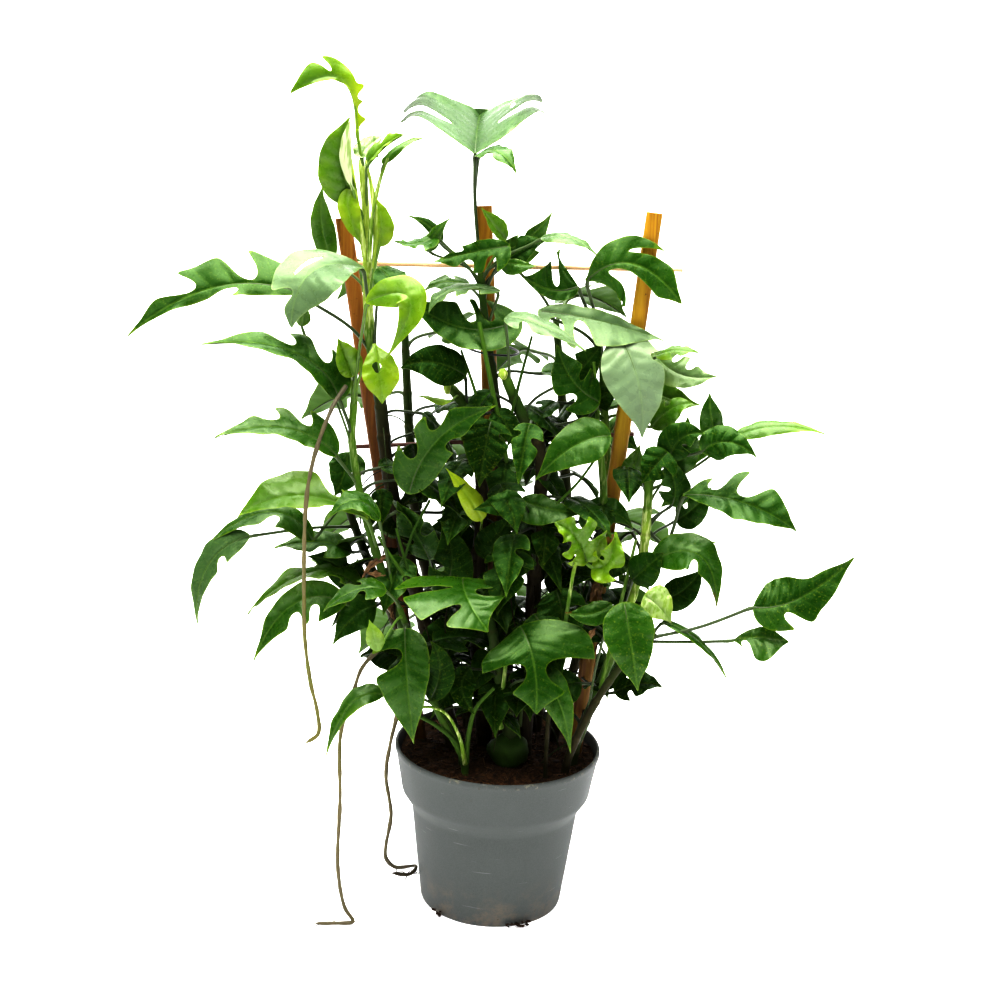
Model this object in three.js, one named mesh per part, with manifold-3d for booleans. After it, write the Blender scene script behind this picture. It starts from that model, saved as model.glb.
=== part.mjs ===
// A potted mini monstera (Rhaphidophora tetrasperma) on a three-stake bamboo trellis.
// Millimetres, +Z up, the origin is the centre of the pot's base, the viewer stands at -Y.
import * as THREE from "three";
import { mergeVertices } from "three/addons/utils/BufferGeometryUtils.js";
import Module from "manifold-3d";

const wasm = await Module();
wasm.setup();

// Driving dimensions
const potHeight = 138;
const rimRadius = 85;
const potBaseRadius = 59;
const potWall = 1.7;
const potFloor = 2.2;
const potSides = 24;
const soilGap = 0.45;
const soilTop = 130;
const stemBuried = 34;
const stakeBuried = 40;
const stakeWidth = 12.5;
const stakeThick = 4.6;
const stickRadius = 1.9;
const contactGap = 0.4;
const stemSlack = 2;
const bladeThick = 0.8;
const petioleRadius = 1.7;
const petioleWidth = 1.3;
const petioleShares = [0.8, 0.4, 0];
const stemSides = 5;
const stemFootSteps = 2;
const petioleSides = 3;
const petioleSteps = 3;
const rootSides = 4;

// The photograph is 1000 by 1000 pixels. Its camera stands on the -Y side at the height of the plant's top.
const view = {
  away: 1300,
  height: 700,
  side: -8,
  focal: 1686,
  pitch: THREE.MathUtils.degToRad(15.2),
  roll: THREE.MathUtils.degToRad(2.82),
  middle: 500,
};

// The point that the photograph shows at (px, py) and that lies `out` mm towards the viewer.
function seen(px, py, out) {
  const a = px - view.middle;
  const b = py - view.middle;
  const right = a * Math.cos(view.roll) + b * Math.sin(view.roll);
  const down = b * Math.cos(view.roll) - a * Math.sin(view.roll);
  const ahead = view.focal * Math.cos(view.pitch) - down * Math.sin(view.pitch);
  const up = -view.focal * Math.sin(view.pitch) - down * Math.cos(view.pitch);
  const reach = (view.away - out) / ahead;
  return new THREE.Vector3(view.side + right * reach, -out, view.height + up * reach);
}

const colours = {
  pot: "#7b8384",
  soil: "#3a2416",
  bamboo: "#b5761f",
  stick: "#c9935a",
  tie: "#1c1c1c",
  leaf: "#2f6d17",
  lime: "#7fae12",
  root: "#b08a55",
};

const part = new THREE.Group();

function addNode(name, geometry, colour, roughness) {
  const material = new THREE.MeshStandardMaterial({ color: colour, roughness, metalness: 0 });
  const mesh = new THREE.Mesh(geometry, material);
  mesh.name = name;
  part.add(mesh);
}

function solidOf(geometry) {
  const bare = geometry.clone();
  bare.deleteAttribute("normal");
  bare.deleteAttribute("uv");
  const merged = mergeVertices(bare, 1e-4);
  const vertProperties = new Float32Array(merged.attributes.position.array);
  const triVerts = new Uint32Array(merged.index.array);
  return new wasm.Manifold(new wasm.Mesh({ numProp: 3, vertProperties, triVerts }));
}

function geometryOf(solid) {
  const mesh = solid.getMesh();
  const geometry = new THREE.BufferGeometry();
  geometry.setAttribute("position", new THREE.BufferAttribute(new Float32Array(mesh.vertProperties), 3));
  geometry.setIndex(new THREE.BufferAttribute(new Uint32Array(mesh.triVerts), 1));
  return geometry;
}

function joined(solids) {
  return solids.reduce((whole, piece) => whole.add(piece));
}

// A closed round rod along a curve, with a radius for each share of its length.
function rod(curve, radiusAt, sides, steps) {
  const frames = curve.computeFrenetFrames(steps, false);
  const positions = [];
  const index = [];
  for (let i = 0; i <= steps; i += 1) {
    const centre = curve.getPointAt(i / steps);
    const radius = radiusAt(i / steps);
    for (let k = 0; k < sides; k += 1) {
      const turn = (2 * Math.PI * k) / sides;
      const spot = centre.clone();
      spot.addScaledVector(frames.normals[i], radius * Math.cos(turn));
      spot.addScaledVector(frames.binormals[i], radius * Math.sin(turn));
      positions.push(spot.x, spot.y, spot.z);
    }
  }
  for (let i = 0; i < steps; i += 1) {
    for (let k = 0; k < sides; k += 1) {
      const a = i * sides + k;
      const b = i * sides + ((k + 1) % sides);
      index.push(a, b, b + sides, a, b + sides, a + sides);
    }
  }
  const last = steps * sides;
  for (let k = 1; k < sides - 1; k += 1) {
    index.push(0, k + 1, k);
    index.push(last, last + k, last + k + 1);
  }
  const geometry = new THREE.BufferGeometry();
  geometry.setAttribute("position", new THREE.Float32BufferAttribute(positions, 3));
  geometry.setIndex(index);
  return geometry;
}

// Pot: a turned nursery pot with a deep rim band, a chamfer below it, and drain holes round its base.
const bandLow = { radius: 78.4, z: 100 };
const shoulder = { radius: 70, z: 86 };
const bodyTop = { radius: 68.6, z: 78 };

const footChamfer = 1.5;
const bandRound = { across: 0.8, up: 2.5 };
const rimEdge = { across: 0.6, up: 2, inner: 2.4, neck: 2.8, deep: 3 };
const drain = { holes: 8, ring: 43, radius: 4.5, sides: 10 };

function potGeometry() {
  const outline = [
    [0, 0],
    [potBaseRadius - footChamfer, 0],
    [potBaseRadius, footChamfer],
    [bodyTop.radius, bodyTop.z],
    [shoulder.radius, shoulder.z],
    [bandLow.radius - bandRound.across, bandLow.z - bandRound.up],
    [bandLow.radius, bandLow.z],
    [rimRadius, potHeight - rimEdge.up],
    [rimRadius - rimEdge.across, potHeight],
    [rimRadius - rimEdge.inner, potHeight],
    [rimRadius - rimEdge.neck, potHeight - rimEdge.deep],
    [bandLow.radius - potWall, bandLow.z],
    [bandLow.radius - potWall - 1, bandLow.z - 2],
    [shoulder.radius - potWall, shoulder.z + 1],
    [bodyTop.radius - potWall, bodyTop.z],
    [potBaseRadius - potWall, potFloor],
    [0, potFloor],
  ];
  const shell = new THREE.LatheGeometry(outline.map(([r, z]) => new THREE.Vector2(r, z)), potSides);
  shell.rotateX(Math.PI / 2);
  let solid = solidOf(shell);
  for (let i = 0; i < drain.holes; i += 1) {
    const turn = (2 * Math.PI * (i + 0.5)) / drain.holes;
    const drill = new THREE.CylinderGeometry(drain.radius, drain.radius, 4 * potFloor, drain.sides);
    drill.rotateX(Math.PI / 2);
    drill.translate(drain.ring * Math.cos(turn), drain.ring * Math.sin(turn), 0);
    solid = solid.subtract(solidOf(drill));
  }
  return geometryOf(solid);
}

// Soil: it fills the pot up to just under the rim, and its top is a low uneven mound.
const moundHeight = 3;
const soilRing = 46;

function soilSurface(x, y) {
  const share = Math.hypot(x, y) / rimRadius;
  const mound = moundHeight * (1 - share * share);
  const broad = 1.3 * Math.sin(0.11 * x + 0.6) * Math.cos(0.13 * y);
  const fine = 0.9 * Math.sin(0.23 * x - 0.19 * y);
  return soilTop + mound + broad + fine;
}

function soilSolid() {
  const outline = [
    [0, potFloor + soilGap],
    [potBaseRadius - potWall - soilGap, potFloor + soilGap],
    [bodyTop.radius - potWall - soilGap, bodyTop.z],
    [shoulder.radius - potWall - soilGap, shoulder.z + 1.4],
    [bandLow.radius - potWall - 1 - soilGap, bandLow.z - 1.6],
    [bandLow.radius - potWall - soilGap, bandLow.z + 0.4],
    [rimRadius - 4, soilTop],
    [soilRing, soilTop],
    [0, soilTop],
  ];
  const plug = new THREE.LatheGeometry(outline.map(([r, z]) => new THREE.Vector2(r, z)), potSides);
  plug.rotateX(Math.PI / 2);
  const spots = plug.attributes.position;
  for (let i = 0; i < spots.count; i += 1) {
    const x = spots.getX(i);
    const y = spots.getY(i);
    if (spots.getZ(i) > soilTop - 1) {
      spots.setZ(i, soilSurface(x, y));
    }
  }
  return solidOf(plug);
}

// Trellis: three flat bamboo stakes fan out of the soil, with two thin sticks tied behind them.
const stakes = {
  stake_left: { foot: [-66, 17], top: seen(343, 218, -24) },
  stake_middle: { foot: [3, 10], top: seen(484, 206, -13) },
  stake_right: { foot: [64, 3], top: seen(655, 213, 0) },
};

function stakeGeometry(stake, extra, buried) {
  const foot = new THREE.Vector3(stake.foot[0], stake.foot[1], soilTop);
  const rise = stake.top.clone().sub(foot);
  const length = rise.length() + buried;
  const w = stakeWidth / 2 + extra;
  const t = stakeThick / 2 + extra;
  const section = new THREE.Shape();
  section.moveTo(-w, t);
  section.lineTo(w, t);
  section.quadraticCurveTo(w, -t, 0.45 * w, -t);
  section.lineTo(-0.45 * w, -t);
  section.quadraticCurveTo(-w, -t, -w, t);
  const stick = new THREE.ExtrudeGeometry(section, { depth: length, bevelEnabled: false, curveSegments: 3 });
  stick.translate(0, 0, -buried);
  const turn = new THREE.Quaternion().setFromUnitVectors(new THREE.Vector3(0, 0, 1), rise.normalize());
  stick.applyQuaternion(turn);
  stick.translate(foot.x, foot.y, foot.z);
  return stick;
}

const sticks = {
  stick_upper: { from: seen(333, 263, -29.5), to: seen(683, 270, -5.5) },
  stick_lower: { from: seen(350, 447, -30), to: seen(634, 434, -8.5) },
};

function stickGeometry(stick) {
  const path = new THREE.LineCurve3(stick.from, stick.to);
  return rod(path, () => stickRadius, 6, 1);
}

// A leaf blade is a surface over its midrib: u runs from its base to its tip, w is the distance in mm to
// the left of the midrib, seen on the upper face with the tip ahead.
const tipPower = 1.15;

function leafWidth(u, broadAt) {
  const basePower = (tipPower * broadAt) / (1 - broadAt);
  const broadest = broadAt ** basePower * (1 - broadAt) ** tipPower;
  return (u ** basePower * (1 - u) ** tipPower) / broadest;
}

function bladeSurface(leaf) {
  const base = seen(...leaf.base);
  const tip = seen(...leaf.tip);
  const over = seen(...leaf.over);
  const control = over.multiplyScalar(2).addScaledVector(base, -0.5).addScaledVector(tip, -0.5);
  const midrib = new THREE.QuadraticBezierCurve3(base, control, tip);
  const [faceRight, faceViewer, faceUp] = leaf.face;
  const face = new THREE.Vector3(faceRight, -faceViewer, faceUp).normalize();
  const fold = THREE.MathUtils.degToRad(leaf.fold ?? 12);
  const droop = leaf.droop ?? 4;
  const reach = Math.max(...leaf.half);
  return (u, w) => {
    const centre = midrib.getPoint(u);
    const along = midrib.getTangent(u);
    const left = face.clone().cross(along).normalize();
    const up = along.clone().cross(left);
    const lift = Math.abs(w) * Math.sin(fold) - droop * (w / reach) ** 2;
    return centre.addScaledVector(left, w * Math.cos(fold)).addScaledVector(up, lift);
  };
}

// The margin of one half, from base to tip: lobes with rounded sinuses between them, each given as
// [place along the blade, depth as a share of the half's width, half of its mouth along the blade].
const broadPlace = 0.34;
const sinusMouth = 0.07;
const sinusSlant = 0.12;
const sinusTurns = [-90, -35, 35, 90];
const lobeStep = 0.24;

function margin(leaf, half, sinuses) {
  const edge = (u) => half * leafWidth(u, leaf.broad ?? broadPlace);
  const points = [];
  let start = 0;
  for (const [place, depth, mouth = sinusMouth] of sinuses) {
    const slant = (leaf.slant ?? sinusSlant) * Math.min(1, 2 * place);
    lobe(points, edge, start, place - mouth);
    for (const degrees of sinusTurns) {
      const turn = THREE.MathUtils.degToRad(degrees);
      const inward = Math.sqrt(Math.max(Math.cos(turn), 0));
      const u = place - slant * depth * inward + mouth * Math.sin(turn);
      const lip = place + mouth * Math.sin(turn);
      points.push([u, edge(lip) * (1 - depth * inward)]);
    }
    start = place + mouth;
  }
  lobe(points, edge, start, 1);
  return points;
}

function lobe(points, edge, from, to) {
  const span = to - from;
  const count = Math.max(1, Math.round(span / lobeStep));
  for (let i = 0; i < count; i += 1) {
    const u = from + (span * (i + 0.5)) / count;
    points.push([u, edge(u)]);
  }
}

const diagonalSlack = 1e-6;
const midribPlaces = { plain: [0, 0.45, 1], cut: [0, 0.3, 0.65, 1] };

// The blade laid flat: its midrib's points first, then the margins, and triangles between them.
function bladeNet(leaf) {
  const places = leaf.left || leaf.right ? midribPlaces.cut : midribPlaces.plain;
  const spots = places.map((u) => [u, 0]);
  const length = spanOf(leaf);
  const tip = places.length - 1;
  const triangles = [];
  const edges = [];
  for (const side of [1, -1]) {
    const half = side > 0 ? leaf.half[0] : leaf.half[1];
    const edge = [[0, petioleWidth], ...margin(leaf, half, (side > 0 ? leaf.left : leaf.right) ?? [])];
    const ids = edge.map((spot, i) => spots.length + i);
    edge.forEach(([u, w]) => spots.push([u, side * w]));
    const ring = [...places.keys(), ...ids.slice().reverse()];
    const contour = ring.map((i) => new THREE.Vector2(length * spots[i][0], spots[i][1]));
    const cut = THREE.ShapeUtils.triangulateShape(contour, []).map((corners) => {
      const facing = corners.map((i) => ring[i]);
      return turnsLeft(...facing.map((i) => spots[i])) ? corners : corners.reverse();
    });
    triangles.push(...evened(contour, cut).map((corners) => corners.map((i) => ring[i])));
    edges.push(ids);
  }
  const [left, right] = edges;
  return { spots, triangles, right, left, tip };
}

// Length of a blade along its midrib, by way of its middle.
function spanOf(leaf) {
  const [base, over, tip] = [leaf.base, leaf.over, leaf.tip].map((spot) => seen(...spot));
  return base.distanceTo(over) + over.distanceTo(tip);
}

// Swaps the long diagonals of neighbouring triangles, so that a bent blade isn't split into slivers.
function evened(points, triangles) {
  const opening = (at, from, to) => {
    const out = points[from].clone().sub(points[at]);
    return out.angleTo(points[to].clone().sub(points[at]));
  };
  const sides = ([a, b, c]) => [[a, b, c], [b, c, a], [c, a, b]];
  for (let i = 0; i < triangles.length; i += 1) {
    for (let j = 0; j < i; j += 1) {
      for (const [p, q, a] of sides(triangles[i])) {
        const shared = sides(triangles[j]).find(([from, to]) => from === q && to === p);
        const b = shared?.[2];
        if (shared && opening(a, p, q) + opening(b, q, p) > Math.PI + diagonalSlack) {
          const rest = triangles.filter((_, k) => k !== i && k !== j);
          return evened(points, [...rest, [a, p, b], [a, b, q]]);
        }
      }
    }
  }
  return triangles;
}

function turnsLeft([au, aw], [bu, bw], [cu, cw]) {
  return (bu - au) * (cw - aw) - (cu - au) * (bw - aw) > 0;
}

function bladeNormal(surface, u, w) {
  const low = Math.max(u - 0.01, 0);
  const high = Math.min(u + 0.01, 1);
  const ahead = surface(high, w).sub(surface(low, w));
  const reach = w === 0 ? 1 : 0.5;
  return ahead.cross(surface(u, w + reach).sub(surface(u, w - reach))).normalize();
}

// A petiole leaves the stem upwards, bends over and runs into the blade's base.
function petiolePath(leaf, from, to) {
  const way = to.clone().sub(from);
  const first = from.clone().addScaledVector(way, 0.2);
  first.z += 0.3 * way.length();
  const second = to.clone().addScaledVector(way, -0.3);
  const free = new THREE.CubicBezierCurve3(from, first, second, to);
  return leaf.via ? new THREE.CatmullRomCurve3([from, seen(...leaf.via), to]) : free;
}

// A leaf is one solid where its petiole runs on into the blade, and two joined ones where the blade hangs
// back over its own petiole.
function leafSolids(leaf, from) {
  const surface = bladeSurface(leaf);
  const net = bladeNet(leaf);
  const tops = [];
  const bottoms = [];
  for (const [u, w] of net.spots) {
    const lift = bladeNormal(surface, u, w).multiplyScalar(bladeThick / 2);
    tops.push(surface(u, w).add(lift));
    bottoms.push(surface(u, w).sub(lift));
  }
  const path = petiolePath(leaf, from, surface(0, 0));
  const arriving = path.getTangent(1);
  const leaving = surface(0.02, 0).sub(surface(0, 0)).normalize();
  const runsOn = arriving.dot(leaving) > -0.3 || arriving.dot(bladeNormal(surface, 0, 0)) > 0.35;
  const triangles = [...net.triangles];
  let outline = [0, ...net.right, net.tip, ...net.left.slice().reverse()];
  if (runsOn) {
    const rows = petioleRows(surface, path, tops, bottoms);
    let [l, r] = [net.left[0], net.right[0]];
    outline = [...net.right, net.tip, ...net.left.slice().reverse()];
    rows.forEach(([lower, righter], i) => {
      if (i === 0) {
        triangles.push([righter, r, 0], [righter, 0, lower], [lower, 0, l]);
      } else {
        triangles.push([righter, r, l], [righter, l, lower]);
      }
      outline.push(lower);
      outline.unshift(righter);
      [l, r] = [lower, righter];
    });
  }
  const blade = solidOf(slab(tops, bottoms, triangles, outline));
  if (runsOn) {
    return [blade];
  }
  const held = petiolePath(leaf, from, surface(0.05, 0));
  return [blade, solidOf(rod(held, () => petioleRadius, petioleSides, petioleSteps))];
}

// Four-cornered rows of petiole from the blade's base down to the stem, as [left, right] indices.
function petioleRows(surface, path, tops, bottoms) {
  const rows = [];
  let left = surface(0, 1).sub(surface(0, -1)).normalize();
  for (const share of petioleShares) {
    const ahead = path.getTangent(share);
    left = left.clone().addScaledVector(ahead, -left.dot(ahead)).normalize();
    const up = ahead.clone().cross(left).multiplyScalar(petioleWidth);
    for (const side of [1, -1]) {
      const spot = path.getPoint(share).addScaledVector(left, side * petioleWidth);
      tops.push(spot.clone().add(up));
      bottoms.push(spot.sub(up));
    }
    rows.push([tops.length - 2, tops.length - 1]);
  }
  return rows;
}

// A closed thin slab: the same triangles on both faces, and a wall round the outline.
function slab(tops, bottoms, triangles, outline) {
  const below = tops.length;
  const index = [];
  for (const [a, b, c] of triangles) {
    index.push(a, b, c, a + below, c + below, b + below);
  }
  outline.forEach((a, i) => {
    const b = outline[(i + 1) % outline.length];
    index.push(a, a + below, b + below, a, b + below, b);
  });
  const geometry = new THREE.BufferGeometry();
  const spots = [...tops, ...bottoms].flatMap((spot) => spot.toArray());
  geometry.setAttribute("position", new THREE.Float32BufferAttribute(spots, 3));
  geometry.setIndex(index);
  return geometry;
}

function stemCurve(stem) {
  const points = stem.map(([px, py, out]) => seen(px, py, out));
  const foot = points[0];
  const straight = [stemBuried, stemBuried / 2].map((deep) => (
    new THREE.Vector3(foot.x, foot.y, soilTop - deep)
  ));
  return new THREE.CatmullRomCurve3([...straight, ...points], false, "centripetal");
}

function stemRadius(stem, share) {
  const last = stem.length - 1;
  const spot = Math.min(Math.max(share, 0), 1) * last;
  const low = Math.min(Math.floor(spot), last - 1);
  return THREE.MathUtils.lerp(stem[low][3], stem[low + 1][3], spot - low);
}

function vineSolid(vine) {
  const curve = stemCurve(vine.stem);
  const steps = vine.stem.length + stemFootSteps;
  const pieces = [solidOf(rod(curve, (s) => stemRadius(vine.stem, s), stemSides, steps))];
  for (const leaf of vine.leaves) {
    const from = curve.getPointAt(leaf.at);
    pieces.push(...leafSolids(leaf, from));
  }
  return joined(pieces);
}

// Ways that a blade's upper face looks: [right, towards the viewer, up].
const faceUp = [0, 0.35, 0.95];
const faceUpLeft = [-0.35, 0.4, 0.85];
const faceFront = [0, 0.85, 0.5];
const faceLeft = [-0.5, 0.7, 0.5];
const faceBack = [0, -0.7, 0.7];

// The vines. A stem lists [photo x, photo y, mm towards the viewer, radius] upwards from the soil. Each leaf
// has its place on the stem, three points of its midrib as [photo x, photo y, mm towards the viewer],
// the widths of its left and right halves, the way its upper face looks, and its sinuses on each side.
const vines = {
  vine_left_tall: {
    stem: [
      [452, 738, 0, 6.5], [434, 660, 4, 6.3], [408, 560, 8, 6], [388, 470, 8, 6], [380, 400, 6, 5.4],
      [370, 335, 2, 5], [367, 262, 0, 4.2], [365, 200, 0, 3.4], [361, 158, 0, 2.6],
    ],
    leaves: [
      { at: 0.985, base: [357, 133, 2], over: [338, 78, 8], tip: [288, 95, 16], half: [3, 19],
        face: [0.2, 0.85, 0.3], right: [[0.14, 0.8], [0.28, 0.8], [0.44, 0.7]], fold: 12, broad: 0.6 },
      { at: 0.9, base: [356, 203, 6], over: [341, 160, 14], tip: [350, 116, 16], half: [20, 9],
        face: [-0.3, 0.9, 0.3], fold: 24 },
      { at: 0.84, base: [348, 189, 12], over: [350, 216, 16], tip: [362, 246, 12], half: [9, 8],
        face: [0, 0.9, 0.3] },
      { at: 0.8, base: [332, 262, -10], over: [321, 222, -8], tip: [323, 185, -6], half: [9, 10],
        face: [-0.1, 0.95, 0.2] },
      { at: 0.9, base: [366, 166, 8], over: [384, 146, 16], tip: [404, 134, 22], half: [13, 10],
        face: [-0.2, 0.5, 0.8], left: [[0.5, 0.6]], fold: 25 },
      { at: 0.86, base: [383, 164, 4], over: [399, 147, 4], tip: [424, 137, 2], half: [6, 5],
        face: [0, 0.6, 0.8] },
      { at: 0.78, base: [379, 246, 10], over: [381, 222, 14], tip: [375, 196, 12], half: [3, 10],
        face: [0, 0.95, 0.3] },
      { at: 0.76, base: [364, 268, 14], over: [311, 273, 44], tip: [291, 330, 58], half: [36, 25],
        face: [0, 0.34, 0.94], left: [[0.7, 0.7]], right: [[0.56, 0.7, 0.04]], broad: 0.45 },
      { at: 0.7, base: [300, 293, 4], over: [212, 288, 10], tip: [125, 338, 16], half: [10, 27],
        face: [0, 0.55, 0.8], right: [[0.37, 0.9, 0.08], [0.66, 0.85, 0.09]], left: [[0.4, 0.6]],
        fold: 4 },
      { at: 0.7, base: [379, 268, 22], over: [395, 284, 34], tip: [408, 302, 44], half: [13, 13],
        face: [0.2, 0.6, 0.7] },
    ],
  },
  vine_left_green: {
    stem: [
      [462, 750, 32, 3.6], [428, 690, 38, 3.6], [392, 600, 42, 3.4], [364, 510, 40, 3.4], [352, 440, 36, 3.2],
      [354, 400, 32, 3], [353, 362, 30, 2.6],
    ],
    leaves: [
      { at: 0.74, base: [301, 326, 34], over: [303, 315, 38], tip: [306, 303, 42], half: [6, 6],
        face: faceFront },
      { at: 0.84, base: [340, 401, 42], over: [294, 352, 52], tip: [198, 344, 60], half: [12, 22],
        face: [-0.2, 0.3, 0.95], right: [[0.35, 0.7], [0.62, 0.7]] },
      { at: 0.96, base: [353, 376, 38], over: [345, 356, 44], tip: [338, 338, 46], half: [11, 13],
        face: [0, 0.8, 0.6], fold: 30 },
      { at: 0.9, base: [366, 302, 62], over: [410, 300, 74], tip: [384, 362, 78], half: [13, 11],
        face: [0.2, 0.85, 0.4] },
      { at: 0.92, base: [374, 344, 50], over: [375, 374, 62], tip: [388, 405, 62], half: [14, 9],
        face: [0.1, 0.9, 0.4] },
      { at: 0.72, base: [337, 456, 44], over: [285, 428, 54], tip: [212, 438, 62], half: [12, 22],
        face: [-0.2, 0.3, 0.95], right: [[0.4, 0.7], [0.65, 0.6]] },
      { at: 0.6, base: [350, 512, 52], over: [294, 492, 62], tip: [222, 526, 66], half: [19, 14],
        face: [-0.2, 0.55, 0.8], left: [[0.6, 0.7, 0.09]] },
      { at: 0.5, base: [380, 520, 62], over: [356, 500, 72], tip: [326, 520, 80], half: [15, 15],
        face: faceUp },
    ],
  },
  vine_left_low: {
    stem: [
      [448, 728, -34, 4.6], [404, 640, -32, 4.6], [368, 560, -26, 4.2], [346, 500, -18, 3.6],
      [338, 462, -12, 3],
    ],
    leaves: [
      { at: 0.97, base: [348, 452, 4], over: [344, 474, 14], tip: [334, 497, 18], half: [16, 14],
        face: faceFront, left: [[0.5, 0.6]] },
      { at: 0.86, base: [313, 541, 14], over: [268, 512, 22], tip: [201, 550, 26], half: [16, 10],
        face: [-0.2, 0.4, 0.9], left: [[0.5, 0.7]] },
      { at: 0.8, base: [250, 536, 30], over: [208, 566, 36], tip: [197, 626, 40], half: [12, 14],
        face: [-0.5, 0.7, 0.4], left: [[0.4, 0.6]], via: [310, 528, 12] },
      { at: 0.7, base: [352, 552, 0], over: [318, 542, 6], tip: [272, 548, 10], half: [16, 14],
        face: faceUp, left: [[0.5, 0.7]] },
      { at: 0.66, base: [360, 588, -6], over: [338, 566, 0], tip: [306, 556, 4], half: [14, 14],
        face: faceFront, right: [[0.4, 0.7]] },
      { at: 0.6, base: [360, 590, 4], over: [310, 572, 14], tip: [245, 616, 20], half: [13, 20],
        face: faceUpLeft, left: [[0.3, 0.6]], right: [[0.3, 0.7], [0.55, 0.7]] },
      { at: 0.5, base: [346, 604, 22], over: [294, 604, 32], tip: [252, 664, 38], half: [22, 14],
        face: [-0.3, 0.7, 0.6], left: [[0.35, 0.7], [0.6, 0.6]] },
      { at: 0.54, base: [376, 606, 14], over: [354, 616, 22], tip: [332, 646, 26], half: [15, 13],
        face: faceFront },
    ],
  },
  vine_front_left: {
    stem: [
      [464, 762, 48, 3], [440, 716, 54, 3], [424, 676, 58, 2.8], [410, 636, 60, 2.6], [398, 604, 62, 2.4],
    ],
    leaves: [
      { at: 0.9, base: [405, 628, 68], over: [407, 680, 84], tip: [414, 746, 84], half: [24, 27],
        face: [-0.1, 0.9, 0.45], right: [[0.34, 0.65]], left: [[0.66, 0.5]] },
      { at: 0.5, base: [384, 695, 66], over: [350, 705, 74], tip: [325, 758, 78], half: [9, 11],
        face: faceLeft },
      { at: 0.94, base: [384, 652, 60], over: [376, 640, 66], tip: [371, 622, 68], half: [7, 7],
        face: faceFront },
      { at: 0.97, base: [386, 590, 66], over: [356, 590, 74], tip: [322, 612, 80], half: [15, 15],
        face: faceUpLeft, left: [[0.5, 0.7]], right: [[0.5, 0.7]] },
      { at: 0.6, base: [430, 700, 76], over: [440, 668, 84], tip: [430, 640, 88], half: [12, 12],
        face: faceFront },
    ],
  },
  vine_centre_left: {
    stem: [
      [484, 738, -10, 6.5], [478, 660, -4, 6.4], [478, 580, 0, 6.2], [482, 500, 2, 6], [475, 430, 2, 5.6],
      [462, 402, 2, 5], [448, 384, 2, 4],
    ],
    leaves: [
      { at: 0.93, base: [466, 376, 16], over: [432, 362, 26], tip: [399, 369, 30], half: [17, 15],
        face: [0, 0.9, 0.4] },
      { at: 0.96, base: [451, 401, 20], over: [434, 398, 24], tip: [417, 395, 28], half: [4, 3],
        face: faceUp },
      { at: 0.8, base: [409, 494, 40], over: [438, 440, 54], tip: [498, 405, 60], half: [22, 17],
        face: [0, 0.85, 0.5], left: [[0.36, 0.75], [0.62, 0.6]], right: [[0.6, 0.5]] },
      { at: 0.62, base: [474, 515, 40], over: [464, 492, 46], tip: [446, 464, 48], half: [7, 8],
        face: faceFront, fold: 4 },
      { at: 0.7, base: [446, 506, 24], over: [456, 516, 30], tip: [458, 541, 32], half: [18, 16],
        face: faceFront },
      { at: 0.5, base: [430, 560, 20], over: [414, 530, 28], tip: [396, 500, 30], half: [17, 17],
        face: faceLeft, left: [[0.4, 0.7]], right: [[0.5, 0.7]] },
      { at: 0.4, base: [440, 600, 26], over: [452, 560, 36], tip: [440, 520, 40], half: [18, 18],
        face: faceFront, left: [[0.45, 0.7]] },
      { at: 0.34, base: [460, 650, 14], over: [440, 640, 22], tip: [412, 662, 26], half: [20, 18],
        face: faceFront, left: [[0.45, 0.7]] },
      { at: 0.26, base: [466, 690, 12], over: [452, 690, 18], tip: [430, 720, 20], half: [14, 14],
        face: faceFront },
    ],
  },
  vine_centre_tall: {
    stem: [
      [504, 745, 6, 6], [507, 640, 6, 5.6], [505, 540, 4, 5.4], [499, 440, 2, 5], [493, 380, 2, 4.4],
      [485, 320, 0, 3.6], [480, 268, -2, 2.6],
    ],
    leaves: [
      { at: 0.975, base: [541, 238, 0], over: [570, 238, 8], tip: [598, 255, 10], half: [9, 12],
        face: faceUp },
      { at: 0.98, base: [500, 262, 2], over: [518, 264, 6], tip: [537, 266, 8], half: [4, 9],
        face: faceFront },
      { at: 0.99, base: [475, 154, 0], over: [478, 138, -44], tip: [482, 128, -92], half: [60, 58],
        face: [0, 0.1, 1], fold: 33, droop: 14, via: [475, 200, -4], left: [[0.3, 0.7], [0.56, 0.65]],
        right: [[0.36, 0.7], [0.62, 0.6]] },
      { at: 0.985, base: [480, 153, 2], over: [498, 152, 16], tip: [517, 174, 26], half: [9, 10],
        face: [0.3, 0.7, 0.6], right: [[0.5, 0.6]], via: [478, 200, -2] },
      { at: 0.97, base: [428, 252, 0], over: [434, 236, 6], tip: [451, 217, 8], half: [6, 6],
        face: faceFront },
      { at: 0.955, base: [440, 243, -8], over: [430, 227, -6], tip: [407, 215, -4], half: [4, 6],
        face: faceFront },
      { at: 0.95, base: [437, 236, 2], over: [414, 244, 14], tip: [394, 240, 22], half: [12, 10],
        face: faceUp, left: [[0.5, 0.6]] },
      { at: 0.97, base: [506, 240, -4], over: [494, 226, 2], tip: [481, 207, 4], half: [5, 10],
        face: [0, 0.85, 0.5], fold: 20 },
      { at: 0.94, base: [510, 246, 6], over: [474, 252, 18], tip: [432, 262, 24], half: [19, 8],
        face: [0, 0.75, 0.65], left: [[0.42, 0.85]] },
      { at: 0.86, base: [521, 318, -2], over: [464, 328, 14], tip: [402, 294, 24], half: [20, 26],
        face: [0, 0.72, 0.7], right: [[0.3, 0.8], [0.52, 0.8]] },
      { at: 0.88, base: [500, 291, 4], over: [452, 290, 18], tip: [428, 314, 26], half: [10, 8],
        face: faceUp },
      { at: 0.36, base: [518, 606, 14], over: [502, 628, 20], tip: [488, 662, 20], half: [19, 18],
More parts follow.
